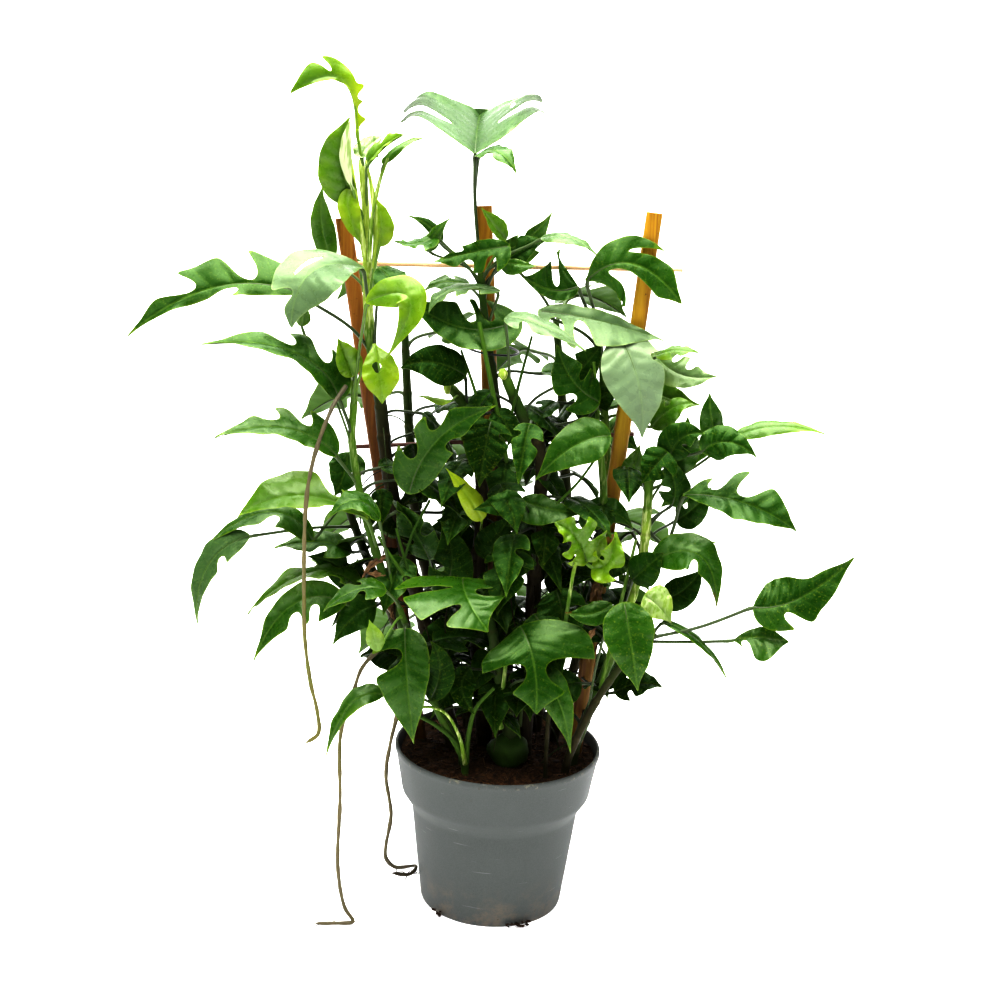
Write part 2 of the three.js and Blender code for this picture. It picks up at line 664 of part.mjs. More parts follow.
        face: faceFront, right: [[0.45, 0.7]] },
      { at: 0.46, base: [488, 560, 24], over: [496, 540, 30], tip: [512, 514, 32], half: [16, 16],
        face: faceFront },
    ],
  },
  vine_centre_right: {
    stem: [
      [524, 740, 8, 6.5], [530, 640, 10, 6.4], [537, 540, 12, 6.2], [539, 445, 14, 5.6], [522, 415, 14, 5],
      [504, 374, 15, 4],
    ],
    leaves: [
      { at: 0.97, base: [505, 318, 30], over: [538, 324, 40], tip: [588, 352, 44], half: [12, 12],
        face: [0, 0.5, 0.85], right: [[0.4, 0.7]] },
      { at: 0.8, base: [611, 436, 34], over: [574, 446, 42], tip: [534, 482, 46], half: [19, 18],
        face: [0, 0.8, 0.6] },
      { at: 0.7, base: [600, 402, 22], over: [572, 380, 28], tip: [557, 343, 30], half: [20, 18],
        face: [0.1, 0.85, 0.5], left: [[0.4, 0.7]], right: [[0.5, 0.7]] },
      { at: 0.6, base: [520, 500, 30], over: [500, 501, 38], tip: [481, 512, 42], half: [9, 7],
        face: faceFront },
      { at: 0.62, base: [520, 500, 24], over: [546, 508, 36], tip: [582, 514, 40], half: [10, 17],
        face: [0, 0.8, 0.6] },
      { at: 0.5, base: [534, 540, 34], over: [520, 556, 44], tip: [510, 590, 48], half: [17, 16],
        face: faceFront, left: [[0.4, 0.6]] },
      { at: 0.4, base: [556, 590, 30], over: [562, 620, 42], tip: [556, 656, 46], half: [20, 20],
        face: faceFront, left: [[0.4, 0.7]], right: [[0.55, 0.7]] },
    ],
  },
  vine_right: {
    stem: [
      [554, 736, -22, 4.2], [576, 660, -22, 4.2], [597, 570, -21, 4], [607, 490, -20, 3.8],
      [605, 420, -20, 3.6], [602, 352, -18, 3],
    ],
    leaves: [
      { at: 0.97, base: [572, 284, 2], over: [624, 267, 12], tip: [683, 306, 16], half: [20, 38],
        face: [0.1, 0.8, 0.6], left: [[0.7, 0.5]], right: [[0.6, 0.85, 0.1]], slant: 0.3, fold: 2 },
      { at: 0.96, base: [578, 286, -4], over: [552, 290, 0], tip: [521, 276, 4], half: [8, 32],
        face: [-0.1, 0.95, 0.3], right: [[0.52, 0.9, 0.1]], fold: 2 },
      { at: 0.985, base: [538, 311, 0], over: [600, 321, 8], tip: [666, 341, 12], half: [9, 28],
        face: [0, 0.7, 0.7], right: [[0.2, 0.85], [0.44, 0.88]] },
      { at: 0.97, base: [618, 334, 12], over: [638, 382, 30], tip: [642, 440, 32], half: [26, 31],
        face: [0.1, 0.75, 0.65], fold: 8 },
      { at: 0.9, base: [655, 352, -14], over: [680, 374, -6], tip: [718, 376, 0], half: [16, 9],
        face: faceFront, left: [[0.45, 0.7]] },
      { at: 0.8, base: [650, 386, -16], over: [668, 398, -10], tip: [702, 405, -6], half: [10, 13],
        face: faceFront },
      { at: 0.3, base: [580, 640, 4], over: [594, 620, 12], tip: [622, 606, 16], half: [19, 18],
        face: faceFront, left: [[0.45, 0.7]] },
      { at: 0.45, base: [588, 580, 0], over: [608, 564, 10], tip: [644, 570, 14], half: [19, 17],
        face: faceFront, right: [[0.4, 0.7]] },
      { at: 0.54, base: [582, 528, 8], over: [608, 512, 22], tip: [634, 530, 26], half: [14, 12],
        face: faceFront },
    ],
  },
  vine_far_right: {
    stem: [
      [574, 752, 16, 4.2], [598, 690, 20, 4.2], [624, 620, 24, 4], [642, 560, 26, 4], [648, 500, 28, 3.8],
      [650, 452, 28, 3.2],
    ],
    leaves: [
      { at: 0.97, base: [718, 441, 30], over: [711, 417, 34], tip: [710, 392, 34], half: [10, 10],
        face: faceFront },
      { at: 0.94, base: [702, 452, 42], over: [728, 442, 50], tip: [758, 458, 54], half: [14, 14],
        face: [0.2, 0.8, 0.6] },
      { at: 0.9, base: [735, 437, 14], over: [776, 426, 18], tip: [827, 434, 22], half: [8, 9],
        face: faceUp, via: [690, 470, 18] },
      { at: 0.85, base: [711, 441, 14], over: [702, 450, 20], tip: [694, 467, 24], half: [7, 7],
        face: faceFront },
      { at: 0.8, base: [683, 495, 36], over: [742, 502, 48], tip: [798, 532, 54], half: [28, 19],
        face: [0.2, 0.6, 0.75], left: [[0.3, 0.8, 0.08], [0.58, 0.85, 0.09]], broad: 0.5,
        via: [664, 545, 26] },
      { at: 0.78, base: [690, 492, 20], over: [676, 496, 24], tip: [660, 508, 28], half: [8, 8],
        face: faceFront },
      { at: 0.66, base: [652, 561, 40], over: [700, 556, 52], tip: [717, 609, 58], half: [15, 17],
        face: [0.3, 0.6, 0.75] },
      { at: 0.6, base: [680, 549, 20], over: [700, 545, 24], tip: [717, 541, 26], half: [4, 5],
        face: faceUp },
      { at: 0.9, base: [668, 466, 22], over: [682, 446, 28], tip: [688, 416, 28], half: [15, 16],
        face: faceFront, left: [[0.4, 0.7]] },
      { at: 0.5, base: [632, 580, 40], over: [648, 566, 46], tip: [664, 552, 48], half: [14, 14],
        face: faceFront },
    ],
  },
  vine_front_right: {
    stem: [
      [566, 766, 40, 3.4], [590, 712, 50, 3.4], [616, 672, 58, 3.2], [640, 645, 62, 3], [656, 634, 64, 2.6],
    ],
    leaves: [
      { at: 0.9, base: [624, 602, 76], over: [631, 644, 90], tip: [638, 693, 92], half: [20, 20],
        face: [0, 0.88, 0.45], fold: 8 },
      { at: 0.97, base: [753, 607, 66], over: [800, 598, 72], tip: [857, 555, 72], half: [22, 20],
        face: [0.1, 0.85, 0.5], right: [[0.36, 0.85, 0.08]], fold: 4, via: [700, 627, 66] },
      { at: 0.94, base: [731, 641, 62], over: [757, 637, 68], tip: [790, 642, 70], half: [8, 20],
        face: [0.1, 0.8, 0.6], right: [[0.34, 0.85, 0.1]], broad: 0.6, via: [690, 642, 62] },
      { at: 0.98, base: [662, 622, 60], over: [698, 640, 64], tip: [729, 681, 66], half: [8, 6],
        face: [0.5, 0.3, 0.8] },
      { at: 0.96, base: [644, 596, 56], over: [658, 606, 62], tip: [672, 624, 64], half: [13, 11],
        face: faceFront },
      { at: 0.5, base: [612, 604, 62], over: [590, 614, 68], tip: [564, 612, 70], half: [10, 9],
        face: faceFront },
    ],
  },
  vine_front_centre: {
    stem: [
      [512, 748, 26, 9], [508, 722, 28, 6.5], [500, 680, 32, 5], [492, 630, 34, 4.2], [486, 596, 34, 3.2],
    ],
    leaves: [
      { at: 0.97, base: [463, 578, 50], over: [468, 600, 84], tip: [489, 633, 100], half: [38, 46],
        face: [0, 0.55, 0.85], left: [[0.26, 0.8], [0.5, 0.8]], right: [[0.3, 0.8], [0.56, 0.8]],
        fold: 4 },
      { at: 0.7, base: [522, 640, 62], over: [534, 664, 84], tip: [536, 716, 92], half: [36, 34],
        face: [0, 0.75, 0.65], left: [[0.5, 0.75]], right: [[0.34, 0.75], [0.6, 0.75]], fold: 4 },
      { at: 0.6, base: [470, 668, 60], over: [462, 690, 70], tip: [476, 716, 72], half: [11, 11],
        face: faceFront },
      { at: 0.5, base: [531, 676, 74], over: [556, 696, 82], tip: [571, 756, 84], half: [14, 15],
        face: [0.1, 0.85, 0.5] },
    ],
  },
  young_leaf_centre: {
    stem: [[550, 700, 46, 1.8], [564, 630, 56, 1.7], [574, 570, 62, 1.6], [580, 548, 62, 1.4]],
    leaves: [
      { at: 0.98, base: [582, 545, 62], over: [574, 532, 66], tip: [553, 522, 68], half: [14, 18],
        face: faceFront, left: [[0.5, 0.6]] },
      { at: 0.96, base: [592, 562, 64], over: [608, 556, 68], tip: [617, 534, 68], half: [9, 10],
        face: faceFront, fold: 24 },
    ],
  },
  vine_back_left: {
    stem: [
      [468, 712, -52, 5.4], [446, 640, -57, 5.2], [420, 540, -60, 5], [410, 440, -58, 4.4],
      [406, 360, -54, 3.6], [404, 300, -50, 2.8],
    ],
    leaves: [
      { at: 0.99, base: [398, 280, -64], over: [372, 276, -92], tip: [336, 300, -110], half: [26, 24],
        face: faceBack, left: [[0.4, 0.75]], right: [[0.5, 0.75]] },
      { at: 0.9, base: [440, 330, -78], over: [464, 330, -104], tip: [496, 352, -124], half: [26, 26],
        face: faceBack, left: [[0.35, 0.75]], right: [[0.5, 0.75]] },
      { at: 0.8, base: [372, 400, -84], over: [340, 396, -106], tip: [300, 420, -122], half: [25, 23],
        face: faceBack, left: [[0.4, 0.75]], right: [[0.5, 0.75]] },
      { at: 0.68, base: [440, 440, -86], over: [460, 442, -112], tip: [480, 470, -134], half: [27, 26],
        face: faceBack, left: [[0.55, 0.75]], right: [[0.42, 0.75]] },
      { at: 0.56, base: [380, 510, -86], over: [352, 516, -108], tip: [316, 548, -122], half: [26, 24],
        face: faceBack, right: [[0.4, 0.75], [0.62, 0.7]], left: [[0.5, 0.75]] },
      { at: 0.44, base: [444, 560, -88], over: [456, 566, -114], tip: [470, 596, -136], half: [24, 25],
        face: faceBack, left: [[0.45, 0.75]] },
      { at: 0.5, base: [436, 556, -38], over: [458, 546, -34], tip: [488, 562, -34], half: [24, 22],
        face: faceFront, left: [[0.4, 0.7]] },
      { at: 0.36, base: [432, 640, -40], over: [452, 640, -34], tip: [474, 668, -32], half: [22, 22],
        face: faceFront, right: [[0.45, 0.7]] },
      { at: 0.34, base: [404, 620, -86], over: [384, 626, -108], tip: [358, 654, -126], half: [24, 22],
        face: faceBack, right: [[0.45, 0.75]] },
    ],
  },
  vine_back_right: {
    stem: [
      [536, 721, -50, 5.4], [556, 640, -56, 5.2], [566, 540, -58, 5], [564, 440, -56, 4.4],
      [560, 370, -52, 3.6], [556, 320, -48, 2.8],
    ],
    leaves: [
      { at: 0.98, base: [496, 250, -36], over: [524, 242, -32], tip: [553, 211, -30], half: [8, 17],
        face: [0, 0.85, 0.5], left: [[0.55, 0.6]], right: [[0.66, 0.6]] },
      { at: 0.99, base: [566, 300, -62], over: [592, 296, -88], tip: [628, 318, -106], half: [25, 26],
        face: faceBack, left: [[0.5, 0.75]], right: [[0.4, 0.75]] },
      { at: 0.9, base: [532, 350, -80], over: [516, 352, -106], tip: [494, 374, -128], half: [25, 25],
        face: faceBack, right: [[0.35, 0.75], [0.6, 0.7]], left: [[0.45, 0.75]] },
      { at: 0.8, base: [604, 410, -82], over: [634, 408, -104], tip: [672, 432, -120], half: [26, 24],
        face: faceBack, left: [[0.4, 0.75]], right: [[0.5, 0.75]] },
      { at: 0.66, base: [530, 470, -88], over: [516, 474, -114], tip: [500, 500, -136], half: [26, 26],
        face: faceBack, left: [[0.38, 0.75]], right: [[0.55, 0.75]] },
      { at: 0.54, base: [612, 520, -84], over: [640, 524, -106], tip: [674, 552, -122], half: [24, 26],
        face: faceBack, left: [[0.42, 0.75]], right: [[0.55, 0.75]] },
      { at: 0.42, base: [544, 590, -90], over: [540, 596, -116], tip: [536, 622, -138], half: [25, 25],
        face: faceBack, right: [[0.45, 0.75]] },
      { at: 0.5, base: [544, 560, -38], over: [522, 552, -34], tip: [494, 580, -32], half: [24, 22],
        face: faceFront, left: [[0.4, 0.7]] },
      { at: 0.36, base: [566, 622, -40], over: [592, 612, -38], tip: [622, 634, -38], half: [22, 22],
        face: faceFront, right: [[0.45, 0.7]] },
      { at: 0.7, base: [586, 446, -40], over: [610, 434, -38], tip: [640, 452, -38], half: [20, 20],
        face: faceFront, left: [[0.45, 0.7]] },
      { at: 0.32, base: [598, 630, -84], over: [618, 636, -106], tip: [640, 662, -122], half: [22, 24],
        face: faceBack, left: [[0.45, 0.75]] },
    ],
  },
};

// Aerial roots: thin, pale and wiry. They lie against the air, the pot and the surface, never through them.
const roots = {
  aerial_root_long: [
    [346, 386, 46], [334, 404, 62], [318, 444, 74], [309, 480, 80], [305, 520, 84], [304, 600, 84],
    [305, 640, 82], [310, 680, 80], [318, 716, 80], [318, 734, 80], [306, 743, 80],
  ],
  aerial_root_front: [
    [380, 648, 46], [362, 668, 52], [350, 705, 56], [341, 732, 58], [340, 800, 60], [338, 870, 62],
    [345, 908, 62], [353, 934, 64], [350, 940, 66], [336, 942, 68], [314, 945, 70],
  ],
  aerial_root_side: [
    [398, 712, 6], [390, 745, 2], [386, 775, 0], [391, 815, -4], [386, 845, -6], [386, 858, -8],
    [395, 867, -10], [416, 866, -6], [410, 874, 4], [392, 873, 12],
  ],
};
const rootRadius = 1.6;
const rootTaper = { start: 1.1, loss: 0.5 };

function rootGeometry(route) {
  const points = route.map((spot) => seen(...spot));
  points.forEach((point) => {
    point.z = Math.max(point.z, rootRadius + 0.1);
  });
  const curve = new THREE.CatmullRomCurve3(points, false, "centripetal");
  return rod(curve, (s) => rootRadius * (rootTaper.start - rootTaper.loss * s), rootSides, 2 * route.length);
}

addNode("pot", potGeometry(), colours.pot, 0.45);

let soil = soilSolid();
for (const [name, stake] of Object.entries(stakes)) {
  soil = soil.subtract(solidOf(stakeGeometry(stake, contactGap, stakeBuried + 2)));
  addNode(name, stakeGeometry(stake, 0, stakeBuried), colours.bamboo, 0.55);
}
for (const vine of Object.values(vines)) {
  const low = stemCurve(vine.stem).getPoint(0);
  const foot = seen(...vine.stem[0]);
  const radius = vine.stem[0][3] + stemSlack;
  const drill = new THREE.CylinderGeometry(radius, radius, 2 * stemBuried, stemSides + 1);
  drill.rotateX(Math.PI / 2);
  drill.translate(foot.x, foot.y, low.z + stemBuried - contactGap);
  soil = soil.subtract(solidOf(drill));
}
addNode("soil", geometryOf(soil), colours.soil, 0.95);

for (const [name, stick] of Object.entries(sticks)) {
  addNode(name, stickGeometry(stick), colours.stick, 0.6);
}

const tieCentre = seen(492, 349, -8);
const tieReach = { across: 21, deep: 24, thick: 22 };
const tieSection = 0.04;
const tieTilt = 5;
const tie = new THREE.TorusGeometry(1, tieSection, 4, 14);
tie.scale(tieReach.across, tieReach.deep, tieReach.thick);
tie.rotateY(THREE.MathUtils.degToRad(tieTilt));
tie.translate(tieCentre.x, tieCentre.y, tieCentre.z);
addNode("wire_tie", tie, colours.tie, 0.5);

for (const [name, vine] of Object.entries(vines)) {
  const colour = name.startsWith("young") ? colours.lime : colours.leaf;
  addNode(name, geometryOf(vineSolid(vine)), colour, 0.4);
}
for (const [name, route] of Object.entries(roots)) {
  addNode(name, rootGeometry(route), colours.root, 0.7);
}

export default part;
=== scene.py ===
import math
import random

import bmesh
import bpy
import numpy as np
from mathutils import Matrix, Vector
from mathutils.geometry import delaunay_2d_cdt

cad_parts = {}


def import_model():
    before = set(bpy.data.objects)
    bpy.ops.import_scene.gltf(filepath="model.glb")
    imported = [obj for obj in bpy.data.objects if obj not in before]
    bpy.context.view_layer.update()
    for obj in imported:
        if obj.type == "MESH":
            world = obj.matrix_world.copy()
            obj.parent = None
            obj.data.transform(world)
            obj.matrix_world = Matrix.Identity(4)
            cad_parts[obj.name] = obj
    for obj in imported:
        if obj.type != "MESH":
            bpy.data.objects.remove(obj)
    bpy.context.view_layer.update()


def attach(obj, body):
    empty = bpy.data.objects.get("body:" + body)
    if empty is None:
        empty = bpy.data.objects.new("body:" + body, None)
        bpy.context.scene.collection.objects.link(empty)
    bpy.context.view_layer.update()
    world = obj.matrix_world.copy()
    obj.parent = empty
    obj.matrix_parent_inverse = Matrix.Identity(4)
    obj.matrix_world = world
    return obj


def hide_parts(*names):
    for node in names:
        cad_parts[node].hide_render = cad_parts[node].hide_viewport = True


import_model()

MM = 0.001
TURN = 2 * math.pi

# The photograph's camera: places in mm, focal length and middle in pixels.
VIEW = dict(away=1300.0, height=700.0, side=-8.0, focal=1686.0, middle=500.0)
PHOTO_WIDTH = 1000
PITCH = math.radians(15.2)
ROLL = math.radians(2.82)

# The pot, the soil in it and the trellis
POT_HEIGHT = 138.0
RIM_RADIUS = 85.0
POT_BASE = 59.0
POT_WALL = 1.7
POT_FLOOR = 2.2
SOIL_TOP = 130.0
STAKE_BURIED = 40.0
STAKE_WIDTH = 12.5
STAKE_THICK = 4.6
STICK_RADIUS = 1.9

# Leaves: thicknesses and widths in mm, places and mouths as shares of a blade's length
BLADE_THICK = 0.6
RIM_THICK = 0.44
PETIOLE_WIDTH = 1.3
TIP_POWER = 1.15
SINUS_MOUTH = 0.07
DRIP_FROM = 0.72
DRIP_LOSS = 0.42
LOBE_HOOK = 0.022
VEIN_PAIRS = 8.0
VEIN_LEAN = 0.55
# A blade's sides may bend down beyond this share of its half width.
BEND_FROM = 0.62
BEND_DEPTH = 7.0

# Stems and roots
STEM_BURIED = 34.0
SHADE_RADIUS = 88
STEM_SIDES = 14
PETIOLE_SIDES = 8
ROOT_RADIUS = 1.6
ROOT_SIDES = 10


def seen(px, py, out):
    """The point that the photograph shows at (px, py) and that lies out mm towards the viewer."""
    a = px - VIEW["middle"]
    b = py - VIEW["middle"]
    right = a * math.cos(ROLL) + b * math.sin(ROLL)
    down = b * math.cos(ROLL) - a * math.sin(ROLL)
    ahead = VIEW["focal"] * math.cos(PITCH) - down * math.sin(PITCH)
    up = -VIEW["focal"] * math.sin(PITCH) - down * math.cos(PITCH)
    reach = (VIEW["away"] - out) / ahead
    return np.array([VIEW["side"] + right * reach, -out, VIEW["height"] + up * reach])


def unit(v):
    return v / max(np.linalg.norm(v), 1e-9)


def units(v):
    return v / np.maximum(np.linalg.norm(v, axis=1, keepdims=True), 1e-9)


# Curves
def evenly(path, count):
    """The same path as count steps of equal length."""
    step = np.linalg.norm(np.diff(path, axis=0), axis=1)
    run = np.concatenate([[0], np.cumsum(step)])
    want = np.linspace(0, run[-1], count + 1)
    return np.stack([np.interp(want, run, path[:, k]) for k in range(path.shape[1])], axis=1)


def catmull(points, count=240):
    """A centripetal spline through points, sampled evenly along its length."""
    pts = [np.asarray(p, float) for p in points]
    ends = [2 * pts[0] - pts[1]] + pts + [2 * pts[-1] - pts[-2]]
    out = []
    per = max(8, count // (len(pts) - 1))
    for i in range(len(pts) - 1):
        p0, p1, p2, p3 = ends[i : i + 4]
        d1 = math.sqrt(np.linalg.norm(p2 - p1)) or 1.0
        d0 = math.sqrt(np.linalg.norm(p1 - p0)) or d1
        d2 = math.sqrt(np.linalg.norm(p3 - p2)) or d1
        t1 = ((p1 - p0) / d0 - (p2 - p0) / (d0 + d1) + (p2 - p1) / d1) * d1
        t2 = ((p2 - p1) / d1 - (p3 - p1) / (d1 + d2) + (p3 - p2) / d2) * d1
        for k in range(per):
            t = k / per
            square = (-3 * p1 + 3 * p2 - 2 * t1 - t2) * t * t
            cube = (2 * p1 - 2 * p2 + t1 + t2) * t**3
            out.append(p1 + t1 * t + square + cube)
    out.append(pts[-1])
    return evenly(np.array(out), count)


def cubic(a, b, c, d, count=60):
    """A Bezier curve from a to d, sampled evenly along its length."""
    t = np.linspace(0, 1, count + 1)[:, None]
    path = (1 - t) ** 3 * a + 3 * (1 - t) ** 2 * t * b + 3 * (1 - t) * t**2 * c + t**3 * d
    return evenly(path, count)


def length_of(path):
    return float(np.linalg.norm(np.diff(path, axis=0), axis=1).sum())


def at_share(path, share):
    """The point at a share of an even path's length."""
    place = share * (len(path) - 1)
    low = min(int(place), len(path) - 2)
    return path[low] * (1 - (place - low)) + path[low + 1] * (place - low)


def spread(values, share):
    """A few values, laid out evenly from 0 to 1 and read at each share."""
    return np.interp(share, np.linspace(0, 1, len(values)), values)


def sideways(path):
    """Two directions across a path at each of its points, carried along without twisting."""
    tangents = units(np.gradient(path, axis=0))
    normal = np.array([1.0, 0.0, 0.0])
    normals = []
    for t in tangents:
        normal = normal - t * float(normal @ t)
        if np.linalg.norm(normal) < 1e-3:
            normal = np.array([0.0, 1.0, 0.0]) - t * t[1]
        normal = unit(normal)
        normals.append(normal)
    normals = np.array(normals)
    return normals, np.cross(tangents, normals)


# Shells
def round_turn(count):
    return np.arange(count) * TURN / count


def band(rows, count, first=0, down=False):
    """The quads between rows of count points, of which the first row starts at the point first."""
    faces = []
    for i in range(rows - 1):
        for k in range(count):
            a, b = first + i * count + k, first + i * count + (k + 1) % count
            faces.append((a, a + count, b + count, b) if down else (a, b, b + count, a + count))
    return faces


def fan(middle, first, count, back=False):
    """The triangles from one point to a ring of count points that starts at first."""
    faces = []
    for k in range(count):
        a, b = first + k, first + (k + 1) % count
        faces.append((middle, b, a) if back else (middle, a, b))
    return faces


def tube(path, radii, sides, wobble=0.0, rng=None):
    """Points and faces of a closed round rod along a path; a wobble makes it a little uneven."""
    path = np.asarray(path, float)
    radii = np.broadcast_to(np.asarray(radii, float), (len(path),))
    normals, across = sideways(path)
    turn = round_turn(sides)
    ring = np.ones((len(path), sides))
    if wobble:
        phase = rng.uniform(0, 6.28)
        for i in range(len(path)):
            ring[i] += wobble * np.sin(2 * turn + phase + 0.37 * i)
            ring[i] += wobble * 0.6 * np.sin(3 * turn - 0.61 * i)
    points = (
        path[:, None, :]
        + (radii[:, None] * ring * np.cos(turn))[:, :, None] * normals[:, None, :]
        + (radii[:, None] * ring * np.sin(turn))[:, :, None] * across[:, None, :]
    ).reshape(-1, 3)
    points = np.vstack([points, path[0], path[-1]])
    low, high = len(points) - 2, len(points) - 1
    last = (len(path) - 1) * sides
    return points, band(len(path), sides) + fan(low, 0, sides, back=True) + fan(high, last, sides)


def inside_loop(points, loop):
    """Which points of the plane lie inside a closed loop."""
    x, y = points[:, 0][:, None], points[:, 1][:, None]
    a = loop
    b = np.roll(loop, -1, axis=0)
    spans = (a[:, 1] > y) != (b[:, 1] > y)
    rise = np.where(np.abs(b[:, 1] - a[:, 1]) < 1e-12, 1e-12, b[:, 1] - a[:, 1])
    cross = a[:, 0] + (y - a[:, 1]) * (b[:, 0] - a[:, 0]) / rise
    return ((spans & (x < cross)).sum(axis=1) % 2) == 1


def filled(loops, inner=()):
    """Points and triangles, all turned alike, that fill the first loop except for the holes after it."""
    edges = []
    start = 0
    for loop in loops:
        edges += [(start + i, start + (i + 1) % len(loop)) for i in range(len(loop))]
        start += len(loop)
    points = np.vstack(loops + list(inner))
    made = delaunay_2d_cdt([Vector(p) for p in points], edges, [], 0, 1e-5)
    flat = np.array([tuple(v) for v in made[0]])
    faces = np.array([tuple(f) for f in made[2]])
    middle = flat[faces].mean(axis=1)
    keep = inside_loop(middle, loops[0])
    for hole in loops[1:]:
        keep &= ~inside_loop(middle, hole)
    faces = faces[keep]
    a, b, c = flat[faces[:, 0]], flat[faces[:, 1]], flat[faces[:, 2]]
    area = (b[:, 0] - a[:, 0]) * (c[:, 1] - a[:, 1]) - (b[:, 1] - a[:, 1]) * (c[:, 0] - a[:, 0])
    faces[area < 0] = faces[area < 0][:, ::-1]
    return flat, faces[np.abs(area) > 1e-7]


def rim_of(faces):
    """The directed edges that only one triangle uses."""
    edges = [(int(face[k]), int(face[(k + 1) % 3])) for face in faces for k in range(3)]
    known = set(edges)
    return [(a, b) for a, b in edges if (b, a) not in known]


def weld(piece, sharp):
    """Joins points that lie on one spot, so that the shells of one mesh share their seams."""
    work = bmesh.new()
    work.from_mesh(piece.data)
    bmesh.ops.remove_doubles(work, verts=work.verts, dist=1e-6)
    bmesh.ops.recalc_face_normals(work, faces=work.faces)
    work.to_mesh(piece.data)
    work.free()
    piece.data.set_sharp_from_angle(angle=math.radians(sharp))


class Builder:
    """Collects shells, with float values on their points, into one mesh."""

    def __init__(self, *fields):
        self.fields = fields
        self.points = []
        self.faces = []
        self.slots = []
        self.smooth = []
        self.values = {name: [] for name in fields}
        self.count = 0

    def add(self, points, faces, slot=0, smooth=True, **values):
        points = np.asarray(points, float)
        self.points.append(points)
        for face in faces:
            self.faces.append(tuple(int(i) + self.count for i in face))
        self.slots.extend([slot] * len(faces))
        self.smooth.extend([smooth] * len(faces))
        for name in self.fields:
            value = np.broadcast_to(np.asarray(values.get(name, 0.0), float), (len(points),))
            self.values[name].append(value)
        self.count += len(points)

    def object(self, name, materials, sharp=50.0):
        mesh = bpy.data.meshes.new(name)
        points = np.concatenate(self.points) * MM
        mesh.from_pydata(points.tolist(), [], self.faces)
        mesh.polygons.foreach_set("material_index", self.slots)
        mesh.polygons.foreach_set("use_smooth", self.smooth)
        for field in self.fields:
            layer = mesh.attributes.new(field, "FLOAT", "POINT")
            layer.data.foreach_set("value", np.concatenate(self.values[field]).astype(np.float32))
        for material in materials:
            mesh.materials.append(material)
        mesh.set_sharp_from_angle(angle=math.radians(sharp))
        mesh.update()
        piece = bpy.data.objects.new(name, mesh)
        bpy.context.scene.collection.objects.link(piece)
        return piece

    def piece(self, node, slot, materials, sharp=50.0, welded=False):
        """The mesh as the visible piece of one node of the frame."""
        piece = self.object(node + "_look", materials, sharp)
        if welded:
            weld(piece, sharp)
        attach(piece, "root")
        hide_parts(node)
        return piece


# A leaf blade is a surface over its midrib: u runs from base to tip, w is mm to the left of the midrib.
def leaf_width(u, broad):
    """A blade's half width as a share of its largest, which lies at the place broad."""
    power = TIP_POWER * broad / (1 - broad)
    top = broad**power * (1 - broad) ** TIP_POWER
    u = np.clip(u, 0, 1)
    return u**power * (1 - u) ** TIP_POWER / top


